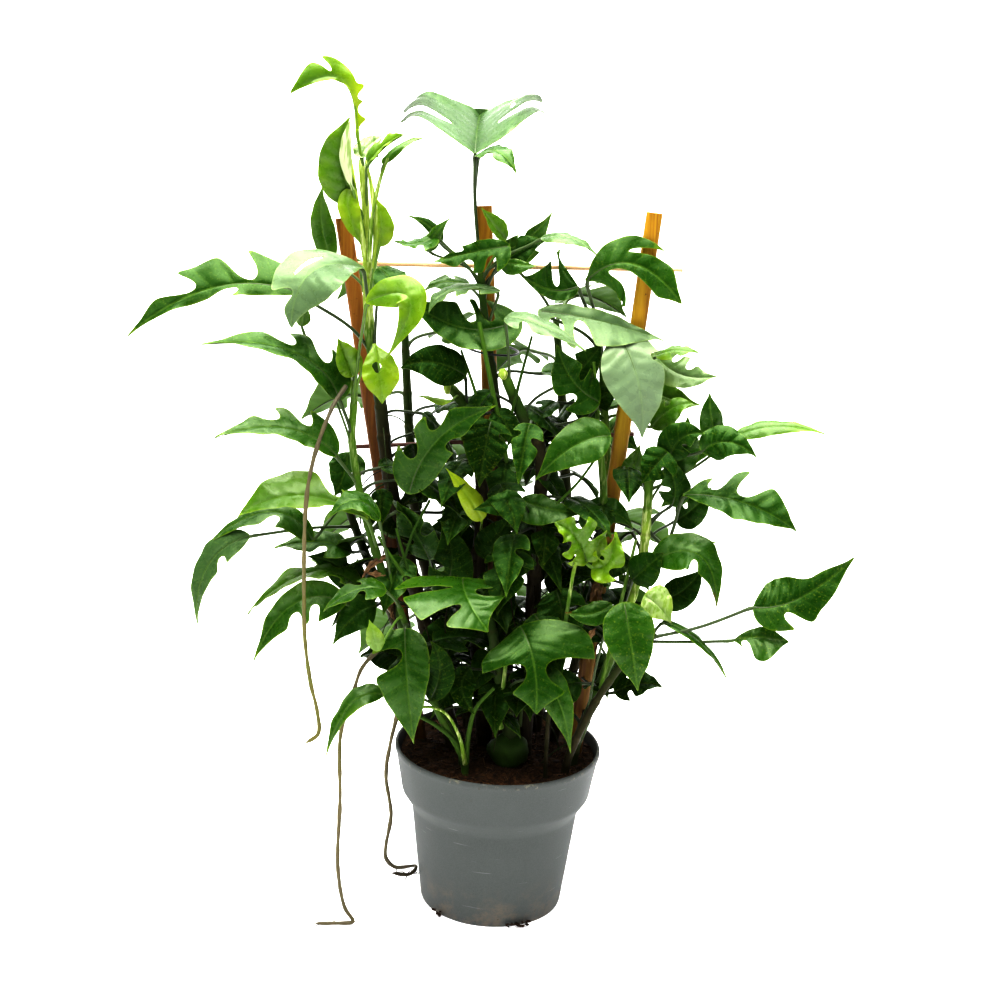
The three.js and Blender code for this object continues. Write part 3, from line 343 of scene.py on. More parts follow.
class Blade:
    def __init__(self, spec, rng):
        self.spec = spec
        spots = spec["spots"] or [seen(*spec[key]) for key in ("base", "over", "tip")]
        self.base, over, self.tip = spots
        self.control = 2 * over - 0.5 * self.base - 0.5 * self.tip
        right, viewer, up = spec["face"]
        self.face = unit(np.array([right, -viewer, up]))
        self.fold = math.radians(spec["fold"])
        self.half = spec["half"]
        self.reach = max(self.half)
        self.length = float(np.linalg.norm(over - self.base) + np.linalg.norm(self.tip - over))
        self.waves = [rng.uniform(0, 6.28) for _ in range(8)]
        self.frill = min(2.0, 0.075 * self.reach) * spec["frill"]
        self.twist = math.radians(rng.uniform(-9, 9))
        self.quilt = spec["quilt"] * min(0.85, 0.034 * self.reach)
        self.pairs = max(4.0, min(VEIN_PAIRS, self.length / 9))

    def midrib(self, u):
        t = np.asarray(u, float)[:, None]
        spot = (1 - t) ** 2 * self.base + 2 * (1 - t) * t * self.control + t * t * self.tip
        ahead = 2 * (1 - t) * (self.control - self.base) + 2 * t * (self.tip - self.control)
        return spot, units(ahead)

    def plain(self, u, w):
        """The smooth surface: folded along the midrib, drooping at its sides and a little twisted."""
        centre, along = self.midrib(u)
        left = units(np.cross(self.face[None, :], along))
        up = np.cross(along, left)
        beyond = np.abs(w) / self.reach - BEND_FROM
        lift = np.abs(w) * math.sin(self.fold) - self.spec["droop"] * (w / self.reach) ** 2
        lift = lift - BEND_DEPTH * self.spec["hook"] * np.clip(beyond, 0, 1) ** 2
        lift = lift - self.spec["tipdown"] * np.clip(beyond / (1 - BEND_FROM), 0, 1.3) ** 2
        turn = self.twist * np.sin(math.pi * u)[:, None]
        left, up = left * np.cos(turn) + up * np.sin(turn), up * np.cos(turn) - left * np.sin(turn)
        return centre + left * (w * math.cos(self.fold))[:, None] + up * lift[:, None]

    def normal(self, u, w):
        ahead = self.plain(u + 0.01, w) - self.plain(u - 0.01, w)
        across = self.plain(u, w + 0.5) - self.plain(u, w - 0.5)
        return units(np.cross(ahead, across))

    def phase(self, u, w):
        """Counts the side veins, which leave the midrib at a slant."""
        return self.pairs * (u - VEIN_LEAN * np.abs(w) / self.length)

    def share(self, u, w):
        """How far out a point lies between the midrib at 0 and the uncut margin at 1."""
        half = np.where(w >= 0, self.half[0], self.half[1])
        return np.abs(w) / np.maximum(half * leaf_width(u, self.spec["broad"]), 1.0)

    def relief(self, u, w):
        """Height over the plain surface: a grooved midrib, sunken side veins and a waved margin."""
        left = w >= 0
        share = np.clip(self.share(u, w), 0, 1.2)
        a, b, c, d, e, f = self.waves[:6]
        margin = np.sin(TURN * 2.6 * u + np.where(left, a, b)) * 0.6
        margin = margin + 0.4 * np.sin(TURN * 5.3 * u + np.where(left, c, d))
        wave = self.frill * margin * share**2.2 * np.clip(4 * u, 0, 1)
        bulge = np.abs(np.sin(math.pi * self.phase(u, w))) ** 0.8 - 0.5
        quilt = self.quilt * bulge * np.clip(np.abs(w) / 4, 0, 1) * np.clip(1.25 - share, 0.15, 1)
        groove = -0.45 * np.exp(-((w / 0.9) ** 2))
        crumple = 0.25 * np.sin(0.31 * w + 14 * u + e) * np.sin(0.23 * w - 9 * u + f)
        return wave + quilt + groove + self.spec["crumple"] * crumple * np.clip(share, 0.2, 1)

    def place(self, u, w):
        u = np.asarray(u, float)
        w = np.asarray(w, float)
        return self.plain(u, w) + self.normal(u, w) * self.relief(u, w)[:, None]

    def width(self, u, side):
        """The margin's distance from the midrib at u, on the left (side 1) or the right (side -1)."""
        half = self.half[0] if side > 0 else self.half[1]
        ease = np.clip((u - DRIP_FROM) / (1 - DRIP_FROM), 0, 1)
        drip = 1 - DRIP_LOSS * np.sin(0.5 * math.pi * ease) ** 2
        wide = half * leaf_width(u, self.spec["broad"]) ** self.spec["blunt"] * drip
        for where, place, more, reach in self.spec["fingers"]:
            if where == side:
                wide = wide + more * np.exp(-(((u - place) / reach) ** 2))
        return float(wide)

    def edge(self, side):
        """One half's margin as (u, w) from the base to the tip, with its sinuses cut in."""
        step = min(2.0, max(0.8, self.length / 40)) / self.length
        points = [(0.0, PETIOLE_WIDTH)]

        def run(start, stop, hooked):
            count = max(2, int(round((stop - start) / step)))
            for i in range(count):
                u = start + (stop - start) * (i + 0.5) / count
                hook = math.exp(-(((stop - u) / 0.035) ** 2)) if hooked else 0.0
                back = math.exp(-(((u - start) / 0.03) ** 2)) if start else 0.0
                wide = self.width(u, side) * (1 + 0.07 * hook - 0.06 * back)
                points.append((u + LOBE_HOOK * hook, max(wide, PETIOLE_WIDTH * (1 - u) * 0.8)))

        start = 0.0
        for place, depth, *wide in self.spec["left" if side > 0 else "right"]:
            mouth = wide[0] if wide else SINUS_MOUTH
            slant = self.spec["slant"] * min(1, 2 * place)
            run(start, place - mouth, True)
            for degrees in (-78, -60, -42, -25, -9, 9, 25, 42, 60, 78):
                turn = math.radians(degrees)
                inward = depth * math.sqrt(max(math.cos(turn), 0))
                lip = place + mouth * math.sin(turn)
                points.append((lip - slant * inward, self.width(lip, side) * (1 - inward)))
            start = place + mouth
        run(start, 1.0, False)
        return np.array(points)

    def outline(self, side, spacing):
        """One half's margin laid flat in mm, spaced evenly and rounded at its corners; its ends stay."""
        flat = self.edge(side) * [self.length, 1]
        flat = evenly(flat, max(8, int(length_of(flat) / spacing)))
        for _ in range(2):
            flat[1:-1] = 0.5 * flat[1:-1] + 0.25 * (flat[:-2] + flat[2:])
        return flat * [1, side]


def far_from(points, loop, gap):
    near = np.full(len(points), np.inf)
    for i in range(0, len(points), 400):
        part = points[i : i + 400, None, :]
        near[i : i + 400] = np.sqrt(((part - loop[None, :, :]) ** 2).sum(axis=2)).min(axis=1)
    return near > gap


def hole_loop(length, u, w, long, wide):
    """A hole's rim laid flat in mm: an ellipse with three soft corners."""
    turn = round_turn(14)
    across = w + wide * np.sin(turn) * (1 + 0.2 * np.cos(3 * turn))
    return np.stack([u * length + long * np.cos(turn), across], axis=1)


def blade_net(blade):
    """The blade laid flat in mm: its points and its triangles, which face up."""
    length = blade.length
    spacing = min(2.8, max(1.2, length / 34)) * blade.spec["coarse"]
    left = blade.outline(1, 0.75 * spacing)
    right = blade.outline(-1, 0.75 * spacing)
    # With the tip ahead, w grows to the left, so that base, right, tip and left run round leftwards.
    outer = np.vstack([right[:-1], left[::-1]])
    holes = [hole_loop(length, *hole) for hole in blade.spec["holes"]]
    rib = np.arange(spacing, length - spacing * 0.6, spacing * 0.8)
    rows = [np.stack([rib, np.full_like(rib, w)], axis=1) for w in (0.0, 0.9, -0.9)]
    for j, w in enumerate(np.arange(-blade.half[1], blade.half[0], spacing * 0.866)):
        if abs(w) >= 1.5:
            u = np.arange(spacing * 0.5 * (j % 2), length, spacing)
            rows.append(np.stack([u, np.full_like(u, w)], axis=1))
    inner = np.vstack(rows)
    inner = inner[inside_loop(inner, outer)]
    inner = inner[far_from(inner, outer, 0.5 * spacing)]
    for hole in holes:
        inner = inner[~inside_loop(inner, hole)]
        inner = inner[far_from(inner, hole, 0.4 * spacing)]
    return filled([outer] + holes, [inner])


def add_blade(builder, blade):
    """A thin closed slab on the blade's surface, with the values that its material reads."""
    spec = blade.spec
    flat, faces = blade_net(blade)
    u = flat[:, 0] / blade.length
    w = flat[:, 1]
    rim = rim_of(faces)
    on_rim = np.zeros(len(flat), bool)
    on_rim[np.unique(rim)] = True
    middle = blade.place(u, w)
    half = blade.normal(u, w) * np.where(on_rim, RIM_THICK / 2, BLADE_THICK / 2)[:, None]
    count = len(flat)
    every = [tuple(f) for f in faces] + [(f[0] + count, f[2] + count, f[1] + count) for f in faces]
    every += [(a, a + count, b + count, b) for a, b in rim]
    share = np.clip(blade.share(u, w), 0, 1)
    shade = spec["tone"] + 0.10 * (share - 0.45) + 0.05 * np.sin(9 * u + blade.waves[6]) * share
    if spec["tip_tone"] is not None:
        shade = shade + (spec["tip_tone"] - spec["tone"]) * np.clip(1.6 * u - 0.4, 0, 1)
    # Painted shade: the outer parts of the halves are darkened, as if they droop away from the light.
    shade = shade + spec["wing"] * np.clip(3 * np.abs(w) / blade.reach - 1.5, 0, 1)
    dry = np.clip((u - spec["dry"]) / 0.06 + 0.8 * np.sin(0.9 * w + 25 * u), 0, 1) * (u > spec["dry"])
    builder.add(
        np.vstack([middle + half, middle - half]),
        every,
        slot=spec["slot"],
        dry=np.tile(dry, 2),
        speck=spec["speck"],
        cream=spec["cream"],
        pale=spec["pale"],
        tone=np.tile(shade, 2),
        phase=np.tile(blade.phase(u, w), 2),
        mid=np.tile(np.abs(w), 2),
        under=np.repeat([0.0, 1.0], count),
        rim=np.tile(on_rim, 2),
    )


def petiole_path(spec, start, end):
    if spec["via"]:
        return catmull([start, seen(*spec["via"]), end], 60)
    way = end - start
    first = start + 0.2 * way
    first[2] += 0.3 * np.linalg.norm(way)
    return cubic(start, first, end - 0.3 * way, end, 60)


def add_petiole(builder, blade, start, sheath):
    """A petiole with a knee at the blade, running on as the ridge under the midrib."""
    spec = blade.spec
    end = blade.place(np.array([0.0]), np.array([0.0]))[0]
    path = petiole_path(spec, start, end)
    run = length_of(path)
    path = evenly(path, max(8, int(run / 3)))
    u = np.linspace(0.03, 0.985, max(6, int(blade.length / 4)))
    zero = np.zeros_like(u)
    rib = blade.place(u, zero) - blade.normal(u, zero) * 0.55
    share = np.linspace(0, 1, len(path))
    thick = min(1.35, 0.75 + 0.02 * blade.reach + 0.002 * blade.length)
    knee = 1 + 0.28 * np.exp(-(((share - 0.965) * run / 3.4) ** 2))
    foot = 1 + 0.8 * np.exp(-((share * run / 5.0) ** 2))
    rib_radii = np.minimum(0.92 * (1 - u) ** 0.8 + 0.16, 0.98 - 0.2 * u)
    radii = thick * np.concatenate([knee * foot, rib_radii])
    whole = np.vstack([path, rib])
    for _ in range(2):
        whole[1:-1] = 0.5 * whole[1:-1] + 0.25 * (whole[:-2] + whole[2:])
    points, faces = tube(whole, radii, PETIOLE_SIDES)
    near = np.clip(1 - np.concatenate([share * run, np.full(len(u), 99.0)]) / 9.0, 0, 1)
    ring = np.concatenate([np.repeat(near * sheath, PETIOLE_SIDES), [sheath, 0]])
    builder.add(points, faces, slot=1, tone=spec["tone"] * 0.8 + 0.1, ring=ring)


# Which way a leaf's upper face looks: to the right, to the viewer and up.
UP = (0, 0.35, 0.95)
UP_LEFT = (-0.35, 0.4, 0.85)
FRONT = (0, 0.85, 0.5)
LEFT = (-0.5, 0.7, 0.5)
BACK = (0, -0.7, 0.7)

# A leaf's looks, where it says nothing else. Cuts are (place, depth, mouth), holes are (place, mm to the
# left, half length, half width), and fingers are bumps of the margin as (side, place, mm, reach).
LEAF_LOOKS = dict(
    tone=0.5, tip_tone=None, pale=0.0, cream=0.0, speck=0.0, dry=2.0, wing=0.0, left=(), right=(), holes=(),
    fingers=(), broad=0.34, blunt=1.0, slant=0.12, fold=12, droop=4, tipdown=0, hook=0.0, crumple=1.0,
    quilt=1.0, frill=1.0, coarse=1.0, via=None, spots=None, slot=0,
)


def leaf(at, base, over, tip, half, face, **looks):
    """One leaf: its place on the stem, its midrib's base, middle and tip as seen, and its looks."""
    return {**LEAF_LOOKS, **dict(at=at, base=base, over=over, tip=tip, half=half, face=face), **looks}


def husk(base, over, tip, half):
    """A dry brown sheath that hangs at an old node."""
    return leaf(0, base, over, tip, half, FRONT, slot=3, crumple=5.0, frill=2.0, fold=45)


# Each vine, with places as the photograph shows them (see seen). A stem's points end in its radius. Its
# tones, from foot to tip, say how old it is: 0 is black and barked, 1 is pale and fresh. inner says from
# where to where it carries small inner leaves, and how many. Stalks carry no leaf of their own and are
# given as points, radii and tone; swellings are buds, or the foot on the soil, as place, sizes and tone.
VINES = {
    "vine_left_tall": dict(
        stem=[(452, 738, 0, 6.5), (434, 660, 4, 6.3), (408, 560, 8, 6), (388, 470, 8, 6),
              (380, 400, 6, 5.4), (370, 335, 2, 5), (367, 262, 0, 4.2), (365, 200, 0, 3.4),
              (361, 158, 0, 2.6)],
        tones=(0, 0, 0, 0, 0.05, 0.1, 0.3, 0.95, 1, 1),
        inner=(0.16, 0.62, 14),
        rootlets=9,
        husks=[
            husk((386, 556, 40), (374, 563, 46), (361, 579, 48), (4, 4)),
            husk((390, 570, 40), (378, 575, 46), (362, 570, 48), (3, 4)),
            husk((396, 600, 44), (392, 612, 50), (398, 626, 52), (3, 3)),
        ],
        stalks=[
            (((366, 262, 6), (358, 215, 10), (350, 165, 10), (345, 122, 8)), (2.2, 2.4, 2.6, 0.5), 1.0),
            (((369, 262, 8), (372, 220, 10), (380, 180, 10), (388, 158, 8)), (1.8, 1.8, 1.5, 1.0), 0.85),
            (((374, 268, 4), (376, 236, 6), (372, 190, 8), (366, 160, 8)), (2.2, 2.3, 2.0, 0.6), 1.0),
        ],
        leaves=[
            leaf(0.985, (357, 133, 2), (341, 79, 8), (288, 95, 16), (3, 15), (0.2, 0.85, 0.3), tone=0.95,
                 tip_tone=0.66, right=[(0.72, 0.8, 0.03)],
                 fingers=[(-1, 0.08, 8, 0.024), (-1, 0.2, 6, 0.016), (-1, 0.31, 9, 0.022)], broad=0.7,
                 crumple=2.0),
            leaf(0.9, (356, 203, 6), (341, 160, 14), (350, 116, 16), (20, 9), (-0.3, 0.9, 0.3), tone=0.7,
                 fold=24),
            leaf(0.84, (348, 189, 12), (350, 216, 16), (362, 246, 12), (9, 8), (0, 0.9, 0.3), tone=0.85),
            leaf(0.8, (332, 262, -10), (321, 222, -8), (323, 185, -6), (9, 10), (-0.1, 0.95, 0.2),
                 tone=0.62),
            leaf(0.9, (366, 166, 8), (384, 146, 16), (404, 134, 22), (13, 10), (-0.2, 0.5, 0.8), tone=0.75,
                 left=[(0.5, 0.6)], fold=25),
            leaf(0.86, (383, 164, 4), (399, 147, 4), (424, 137, 2), (6, 5), (0, 0.6, 0.8), tone=0.55),
            leaf(0.78, (379, 246, 10), (381, 222, 14), (375, 196, 12), (3, 10), (0, 0.95, 0.3), tone=0.85),
            leaf(0.76, (364, 268, 14), (311, 273, 44), (291, 330, 58), (36, 28), (0, 0.5, 0.85), tone=0.46,
                 pale=0.3, right=[(0.82, 0.75, 0.05)], holes=[(0.44, -10, 15, 2.2)], broad=0.5, quilt=0.5,
                 frill=0.5),
            leaf(0.7, (300, 293, 4), (212, 288, 10), (125, 338, 16), (10, 27), (0, 0.75, 0.6), tone=0.36,
                 left=[(0.46, 0.7)], right=[(0.36, 0.9, 0.07), (0.71, 0.85, 0.07)], fold=4),
            leaf(0.7, (379, 268, 22), (395, 284, 34), (408, 302, 44), (13, 13), (0.2, 0.6, 0.7), tone=0.3),
            leaf(0.86, (353, 190, 16), (346, 155, 20), (351, 117, 17), (5, 4), FRONT, tone=0.8, cream=1.0,
                 broad=0.5),
            leaf(0.93, (362, 158, 2), (368, 146, -4), (386, 134, -10), (9, 12), (0, 0.8, 0.6), tone=0.62,
                 cream=0.5, right=[(0.5, 0.6)]),
        ],
    ),
    "vine_left_green": dict(
        stem=[(462, 750, 32, 3.6), (428, 690, 38, 3.6), (392, 600, 42, 3.4), (364, 510, 40, 3.4),
              (352, 440, 36, 3.2), (354, 400, 32, 3), (353, 362, 30, 2.6)],
        tones=(0.3, 0.45, 0.5, 0.55, 0.7, 0.8),
        inner=(0.2, 0.8, 9),
        rootlets=5,
        leaves=[
            leaf(0.74, (301, 326, 34), (303, 315, 38), (306, 303, 42), (6, 6), FRONT, tone=0.6),
            leaf(0.84, (340, 401, 42), (294, 352, 52), (198, 344, 60), (12, 22), (-0.2, 0.5, 0.85),
                 tone=0.36, right=[(0.35, 0.7), (0.62, 0.7)]),
            leaf(0.96, (353, 376, 38), (345, 356, 44), (338, 338, 46), (11, 13), (0, 0.8, 0.6), tone=0.75,
                 fold=30),
            leaf(0.9, (366, 302, 62), (410, 300, 74), (384, 362, 78), (15, 12), (0.2, 0.85, 0.4), tone=0.74,
                 crumple=2.0),
            leaf(0.92, (374, 344, 50), (380, 372, 62), (382, 405, 62), (15, 14), (0.1, 0.9, 0.4), tone=0.84,
                 holes=[(0.42, -2, 4.5, 3.4)], broad=0.52),
            leaf(0.72, (337, 456, 44), (285, 428, 54), (212, 438, 62), (12, 22), (-0.2, 0.5, 0.85),
                 tone=0.48, right=[(0.4, 0.7), (0.65, 0.6)]),
            leaf(0.6, (368, 519, 52), (300, 495, 62), (236, 518, 66), (13, 23), (-0.2, 0.55, 0.8),
                 tone=0.66, left=[(0.26, 0.5, 0.08)], right=[(0.3, 0.75, 0.08)], broad=0.52),
            leaf(0.5, (380, 520, 62), (356, 500, 72), (326, 520, 80), (15, 15), UP),
        ],
    ),
    "vine_left_low": dict(
        stem=[(448, 728, -34, 4.6), (404, 640, -32, 4.6), (368, 560, -26, 4.2), (346, 500, -18, 3.6),
              (338, 462, -12, 3)],
        tones=(0.05, 0.1, 0.2, 0.3, 0.45),
        inner=(0.2, 0.9, 9),
        rootlets=5,
        stalks=[
            (((378, 536, 40), (392, 558, 44), (410, 584, 40)), (1.2, 1.4, 1.6), 0.62),
            (((396, 528, 36), (402, 550, 40), (409, 574, 38)), (1.0, 1.2, 1.4), 0.55),
            (((388, 556, 44), (392, 584, 46), (404, 622, 40)), (1.0, 1.2, 1.4), 0.6),
        ],
        leaves=[
            leaf(0.97, (348, 452, 4), (344, 474, 14), (334, 497, 18), (16, 14), FRONT, tone=0.3,
                 left=[(0.5, 0.6)]),
            leaf(0.86, (313, 541, 14), (268, 512, 22), (201, 550, 26), (16, 10), (-0.2, 0.4, 0.9),
                 tone=0.45, left=[(0.5, 0.7)]),
            leaf(0.8, (250, 536, 30), (208, 566, 36), (197, 626, 40), (12, 14), (-0.5, 0.7, 0.4), tone=0.4,
                 pale=0.12, left=[(0.4, 0.6)], via=(310, 528, 12)),
            leaf(0.7, (352, 552, 0), (318, 542, 6), (272, 548, 10), (16, 14), UP, tone=0.35,
                 left=[(0.5, 0.7)]),
            leaf(0.66, (360, 588, -6), (338, 566, 0), (306, 556, 4), (14, 14), FRONT, tone=0.3,
                 right=[(0.4, 0.7)]),
            leaf(0.6, (360, 590, 4), (310, 572, 14), (245, 616, 20), (13, 20), UP_LEFT, tone=0.6,
                 left=[(0.3, 0.6)], right=[(0.3, 0.7), (0.55, 0.7)]),
            leaf(0.5, (346, 604, 22), (294, 604, 32), (252, 664, 38), (22, 14), (-0.3, 0.7, 0.6),
                 left=[(0.35, 0.7), (0.6, 0.6)]),
            leaf(0.54, (376, 606, 14), (354, 616, 22), (332, 646, 26), (15, 13), FRONT, tone=0.3),
        ],
    ),
    "vine_front_left": dict(
        stem=[(464, 762, 48, 3), (440, 716, 54, 3), (424, 676, 58, 2.8), (410, 636, 60, 2.6),
              (398, 604, 62, 2.4)],
        tones=(0.6, 0.65, 0.6, 0.6),
        stalks=[
            (((464, 764, 50), (455, 742, 54), (434, 724, 58), (410, 712, 60)), (2.6, 2.0, 1.8, 1.5), 0.55),
            (((465, 764, 52), (459, 736, 58), (444, 712, 62), (424, 707, 64), (409, 714, 64)),
             (2.2, 1.5, 1.3, 1.2, 0.9), 0.85),
            (((466, 763, 50), (468, 738, 52), (476, 708, 54), (494, 688, 56)), (2.6, 2.1, 1.7, 1.4), 0.6),
        ],
        leaves=[
            leaf(0.9, (405, 628, 68), (407, 680, 84), (414, 746, 84), (20, 27), (-0.1, 0.9, 0.45),
                 tone=0.38, right=[(0.35, 0.92, 0.1)], broad=0.33),
            leaf(0.5, (384, 695, 66), (350, 705, 74), (325, 758, 78), (9, 11), LEFT),
            leaf(0.94, (378, 651, 88), (374, 636, 92), (369, 619, 90), (7, 7), FRONT, tone=0.8, pale=0.1),
            leaf(0.97, (386, 590, 66), (356, 590, 74), (322, 612, 80), (15, 15), UP_LEFT, left=[(0.5, 0.7)],
                 right=[(0.5, 0.7)]),
            leaf(0.6, (430, 700, 76), (440, 668, 84), (430, 640, 88), (12, 12), FRONT, tone=0.06),
        ],
    ),
    "vine_centre_left": dict(
        stem=[(484, 738, -10, 6.5), (478, 660, -4, 6.4), (478, 580, 0, 6.2), (482, 500, 2, 6),
              (475, 430, 2, 5.6), (462, 402, 2, 5), (448, 384, 2, 4)],
        tones=(0, 0, 0, 0, 0, 0.05, 0.2, 0.75),
        inner=(0.14, 0.9, 22),
        rootlets=14,
        stalks=[
            (((461, 350, 10), (474, 388, 16), (486, 430, 12)), (0.9, 1.2, 1.4), 0.6),
            (((430, 500, 34), (414, 530, 40), (404, 560, 40)), (1.1, 1.1, 1.3), 0.5),
        ],
        swellings=[
            ((448, 388, 3), (3.6, 3.6, 4.8), 0.98),
            ((484, 402, 12), (2.6, 2.6, 3.2), 0.95),
        ],
        leaves=[
            leaf(0.93, (466, 376, 16), (432, 362, 26), (399, 369, 30), (17, 15), (0, 0.9, 0.4), tone=0.15),
            leaf(0.96, (451, 401, 20), (434, 398, 24), (417, 395, 28), (4, 3), UP, tone=0.8),
            leaf(0.8, (409, 494, 40), (438, 440, 54), (498, 405, 60), (22, 17), (0, 0.95, 0.3), tone=0.36,
                 left=[(0.36, 0.75), (0.62, 0.6)], right=[(0.6, 0.5)]),
            leaf(0.62, (482, 520, 44), (466, 494, 50), (445, 467, 50), (8, 10), FRONT, tone=1, broad=0.25,
                 fold=4),
            leaf(0.7, (446, 506, 24), (456, 516, 30), (458, 541, 32), (18, 16), FRONT, tone=0.15),
            leaf(0.5, (430, 560, 20), (414, 530, 28), (396, 500, 30), (17, 17), LEFT, tone=0.3,
                 left=[(0.4, 0.7)], right=[(0.5, 0.7)]),
            leaf(0.4, (440, 600, 26), (452, 560, 36), (440, 520, 40), (18, 18), FRONT, tone=0.1,
                 left=[(0.45, 0.7)]),
            leaf(0.34, (460, 650, 14), (440, 640, 22), (412, 662, 26), (20, 18), FRONT, tone=0.1,
                 left=[(0.45, 0.7)]),
            leaf(0.26, (466, 690, 12), (452, 690, 18), (430, 720, 20), (14, 14), FRONT, tone=0.1),
        ],
    ),
    "vine_centre_tall": dict(
        stem=[(504, 745, 6, 6), (507, 640, 6, 5.6), (505, 540, 4, 5.4), (499, 440, 2, 5),
              (493, 380, 2, 4.4), (485, 320, 0, 3.6), (480, 268, -2, 2.6)],
        tones=(0, 0, 0, 0.05, 0.1, 0.35, 0.6),
        inner=(0.14, 0.8, 20),
        rootlets=10,
        stalks=[
            (((479, 322, 20), (492, 388, 26), (505, 452, 26), (514, 520, 16)), (1.7, 1.9, 1.9, 1.9), 0.62),
            (((532, 336, 16), (520, 380, 20), (509, 425, 20)), (0.9, 1.2, 1.3), 0.5),
        ],
        leaves=[
            leaf(0.975, (541, 238, 0), (570, 238, 8), (598, 255, 10), (9, 12), UP, pale=0.15),
            leaf(0.98, (500, 262, 2), (518, 264, 6), (537, 266, 8), (4, 9), FRONT, tone=0.45),
            leaf(0.99, (475, 154, 0), (477, 132, -40), (480, 114, -84), (70, 64), (0, 0.1, 1), tone=0.36,
                 pale=0.12, wing=-0.42, left=[(0.46, 0.7, 0.06)], right=[(0.48, 0.7, 0.06)],
                 holes=[(0.62, -34, 6, 2.5)], broad=0.5, blunt=0.5, fold=34, droop=8, tipdown=17, hook=1.0,
                 quilt=0.3, frill=0.6, via=(475, 200, -4)),
            leaf(0.985, (478, 155, -3), (498, 152, 16), (517, 174, 26), (13, 12), (0.3, 0.7, 0.6),
                 tone=0.42, right=[(0.5, 0.6)], via=(475, 200, -8)),
            leaf(0.97, (428, 252, 0), (434, 236, 6), (451, 217, 8), (6, 6), FRONT),
            leaf(0.955, (440, 243, -8), (430, 227, -6), (407, 215, -4), (4, 6), FRONT, tone=0.35),
            leaf(0.95, (437, 236, 2), (414, 244, 14), (394, 240, 22), (12, 10), UP, left=[(0.5, 0.6)]),
            leaf(0.97, (506, 240, -4), (494, 226, 2), (481, 207, 4), (5, 10), FRONT, tone=0.7, fold=20),
            leaf(0.94, (510, 246, 6), (474, 252, 18), (432, 262, 24), (19, 8), (0, 0.9, 0.45), tone=0.34,
                 left=[(0.36, 0.72, 0.08), (0.66, 0.6, 0.08)], right=[(0.7, 0.5, 0.06)]),
            leaf(0.86, (521, 318, -2), (464, 328, 14), (402, 294, 24), (20, 26), (0, 0.86, 0.5), tone=0.34,
                 right=[(0.3, 0.8), (0.52, 0.8)]),
            leaf(0.88, (500, 291, 4), (452, 290, 18), (428, 314, 26), (12, 12), UP, pale=0.2,
                 left=[(0.3, 0.7), (0.6, 0.7)]),
            leaf(0.36, (518, 606, 14), (502, 628, 20), (488, 662, 20), (19, 18), FRONT, tone=0.1,
                 right=[(0.45, 0.7)]),
            leaf(0.46, (488, 560, 24), (496, 540, 30), (512, 514, 32), (16, 16), FRONT, tone=0.12),
            leaf(0.96, (500, 268, -8), (520, 250, -4), (548, 240, -4), (14, 12), (0, 0.8, 0.6), tone=0.25,
                 left=[(0.5, 0.7)]),
            leaf(0.93, (470, 285, -10), (446, 282, -6), (424, 290, -4), (11, 12), UP, right=[(0.4, 0.7)]),
        ],
    ),
    "vine_centre_right": dict(
        stem=[(524, 740, 8, 6.5), (530, 640, 10, 6.4), (537, 540, 12, 6.2), (539, 445, 14, 5.6),
              (522, 415, 14, 5), (504, 374, 15, 4)],
        tones=(0, 0, 0, 0, 0.05, 0.15, 0.7),
        inner=(0.14, 0.92, 22),
        rootlets=12,
        husks=[
            husk((596, 628, 30), (588, 642, 34), (590, 664, 34), (3, 3)),
        ],
        stalks=[
            (((604, 446, 34), (580, 480, 40), (553, 508, 34)), (0.9, 1.0, 1.3), 0.6),
        ],
        swellings=[
            ((503, 374, 18), (3.8, 3.6, 4.4), 0.98),
        ],
        leaves=[
            leaf(0.97, (505, 318, 30), (538, 324, 40), (588, 352, 44), (12, 12), (0, 0.5, 0.85), pale=0.35,
                 right=[(0.4, 0.7)]),
            leaf(0.8, (611, 436, 34), (574, 446, 42), (534, 482, 46), (19, 18), (0, 0.8, 0.6), tone=0.44,
                 quilt=0.6),
            leaf(0.7, (600, 402, 22), (572, 380, 28), (557, 343, 30), (20, 18), (0.1, 0.85, 0.5), tone=0.3,
                 left=[(0.4, 0.7)], right=[(0.5, 0.7)]),
            leaf(0.6, (522, 498, 54), (500, 503, 60), (472, 510, 60), (12, 9), FRONT, tone=0.2),
            leaf(0.62, (520, 500, 24), (546, 508, 36), (582, 514, 40), (10, 17), (0, 0.8, 0.6), tone=0.4),
            leaf(0.5, (534, 540, 34), (520, 556, 44), (510, 590, 48), (17, 16), FRONT, tone=0.12,
                 left=[(0.4, 0.6)]),
            leaf(0.4, (556, 590, 30), (562, 620, 42), (556, 656, 46), (20, 20), FRONT, tone=0.15,
                 left=[(0.4, 0.7)], right=[(0.55, 0.7)]),
            leaf(0.9, (566, 380, 6), (584, 366, 12), (604, 340, 12), (14, 14), FRONT, tone=0.2,
                 left=[(0.45, 0.7)]),
            leaf(0.84, (580, 420, 2), (598, 400, 8), (622, 392, 8), (13, 14), FRONT, tone=0.16,
                 right=[(0.45, 0.7)]),
        ],
    ),
    "vine_right": dict(
        stem=[(554, 736, -22, 4.2), (576, 660, -22, 4.2), (597, 570, -21, 4), (607, 490, -20, 3.8),
              (605, 420, -20, 3.6), (602, 352, -18, 3)],
        tones=(0.05, 0.1, 0.3, 0.95, 0.75, 0.5),
        inner=(0.14, 0.9, 18),
        rootlets=8,
        husks=[
            husk((600, 578, 2), (594, 588, 8), (590, 606, 10), (4, 3)),
            husk((606, 584, 0), (600, 592, 6), (602, 612, 8), (3, 4)),
        ],
        stalks=[
            (((594, 362, 16), (598, 426, 18), (603, 480, 18), (604, 520, 12)), (1.3, 1.7, 3.0, 3.2), 0.72),
        ],
        leaves=[
            leaf(0.97, (586, 281, 4), (634, 264, 12), (683, 306, 16), (22, 34), (0.1, 0.9, 0.4), tone=0.38,
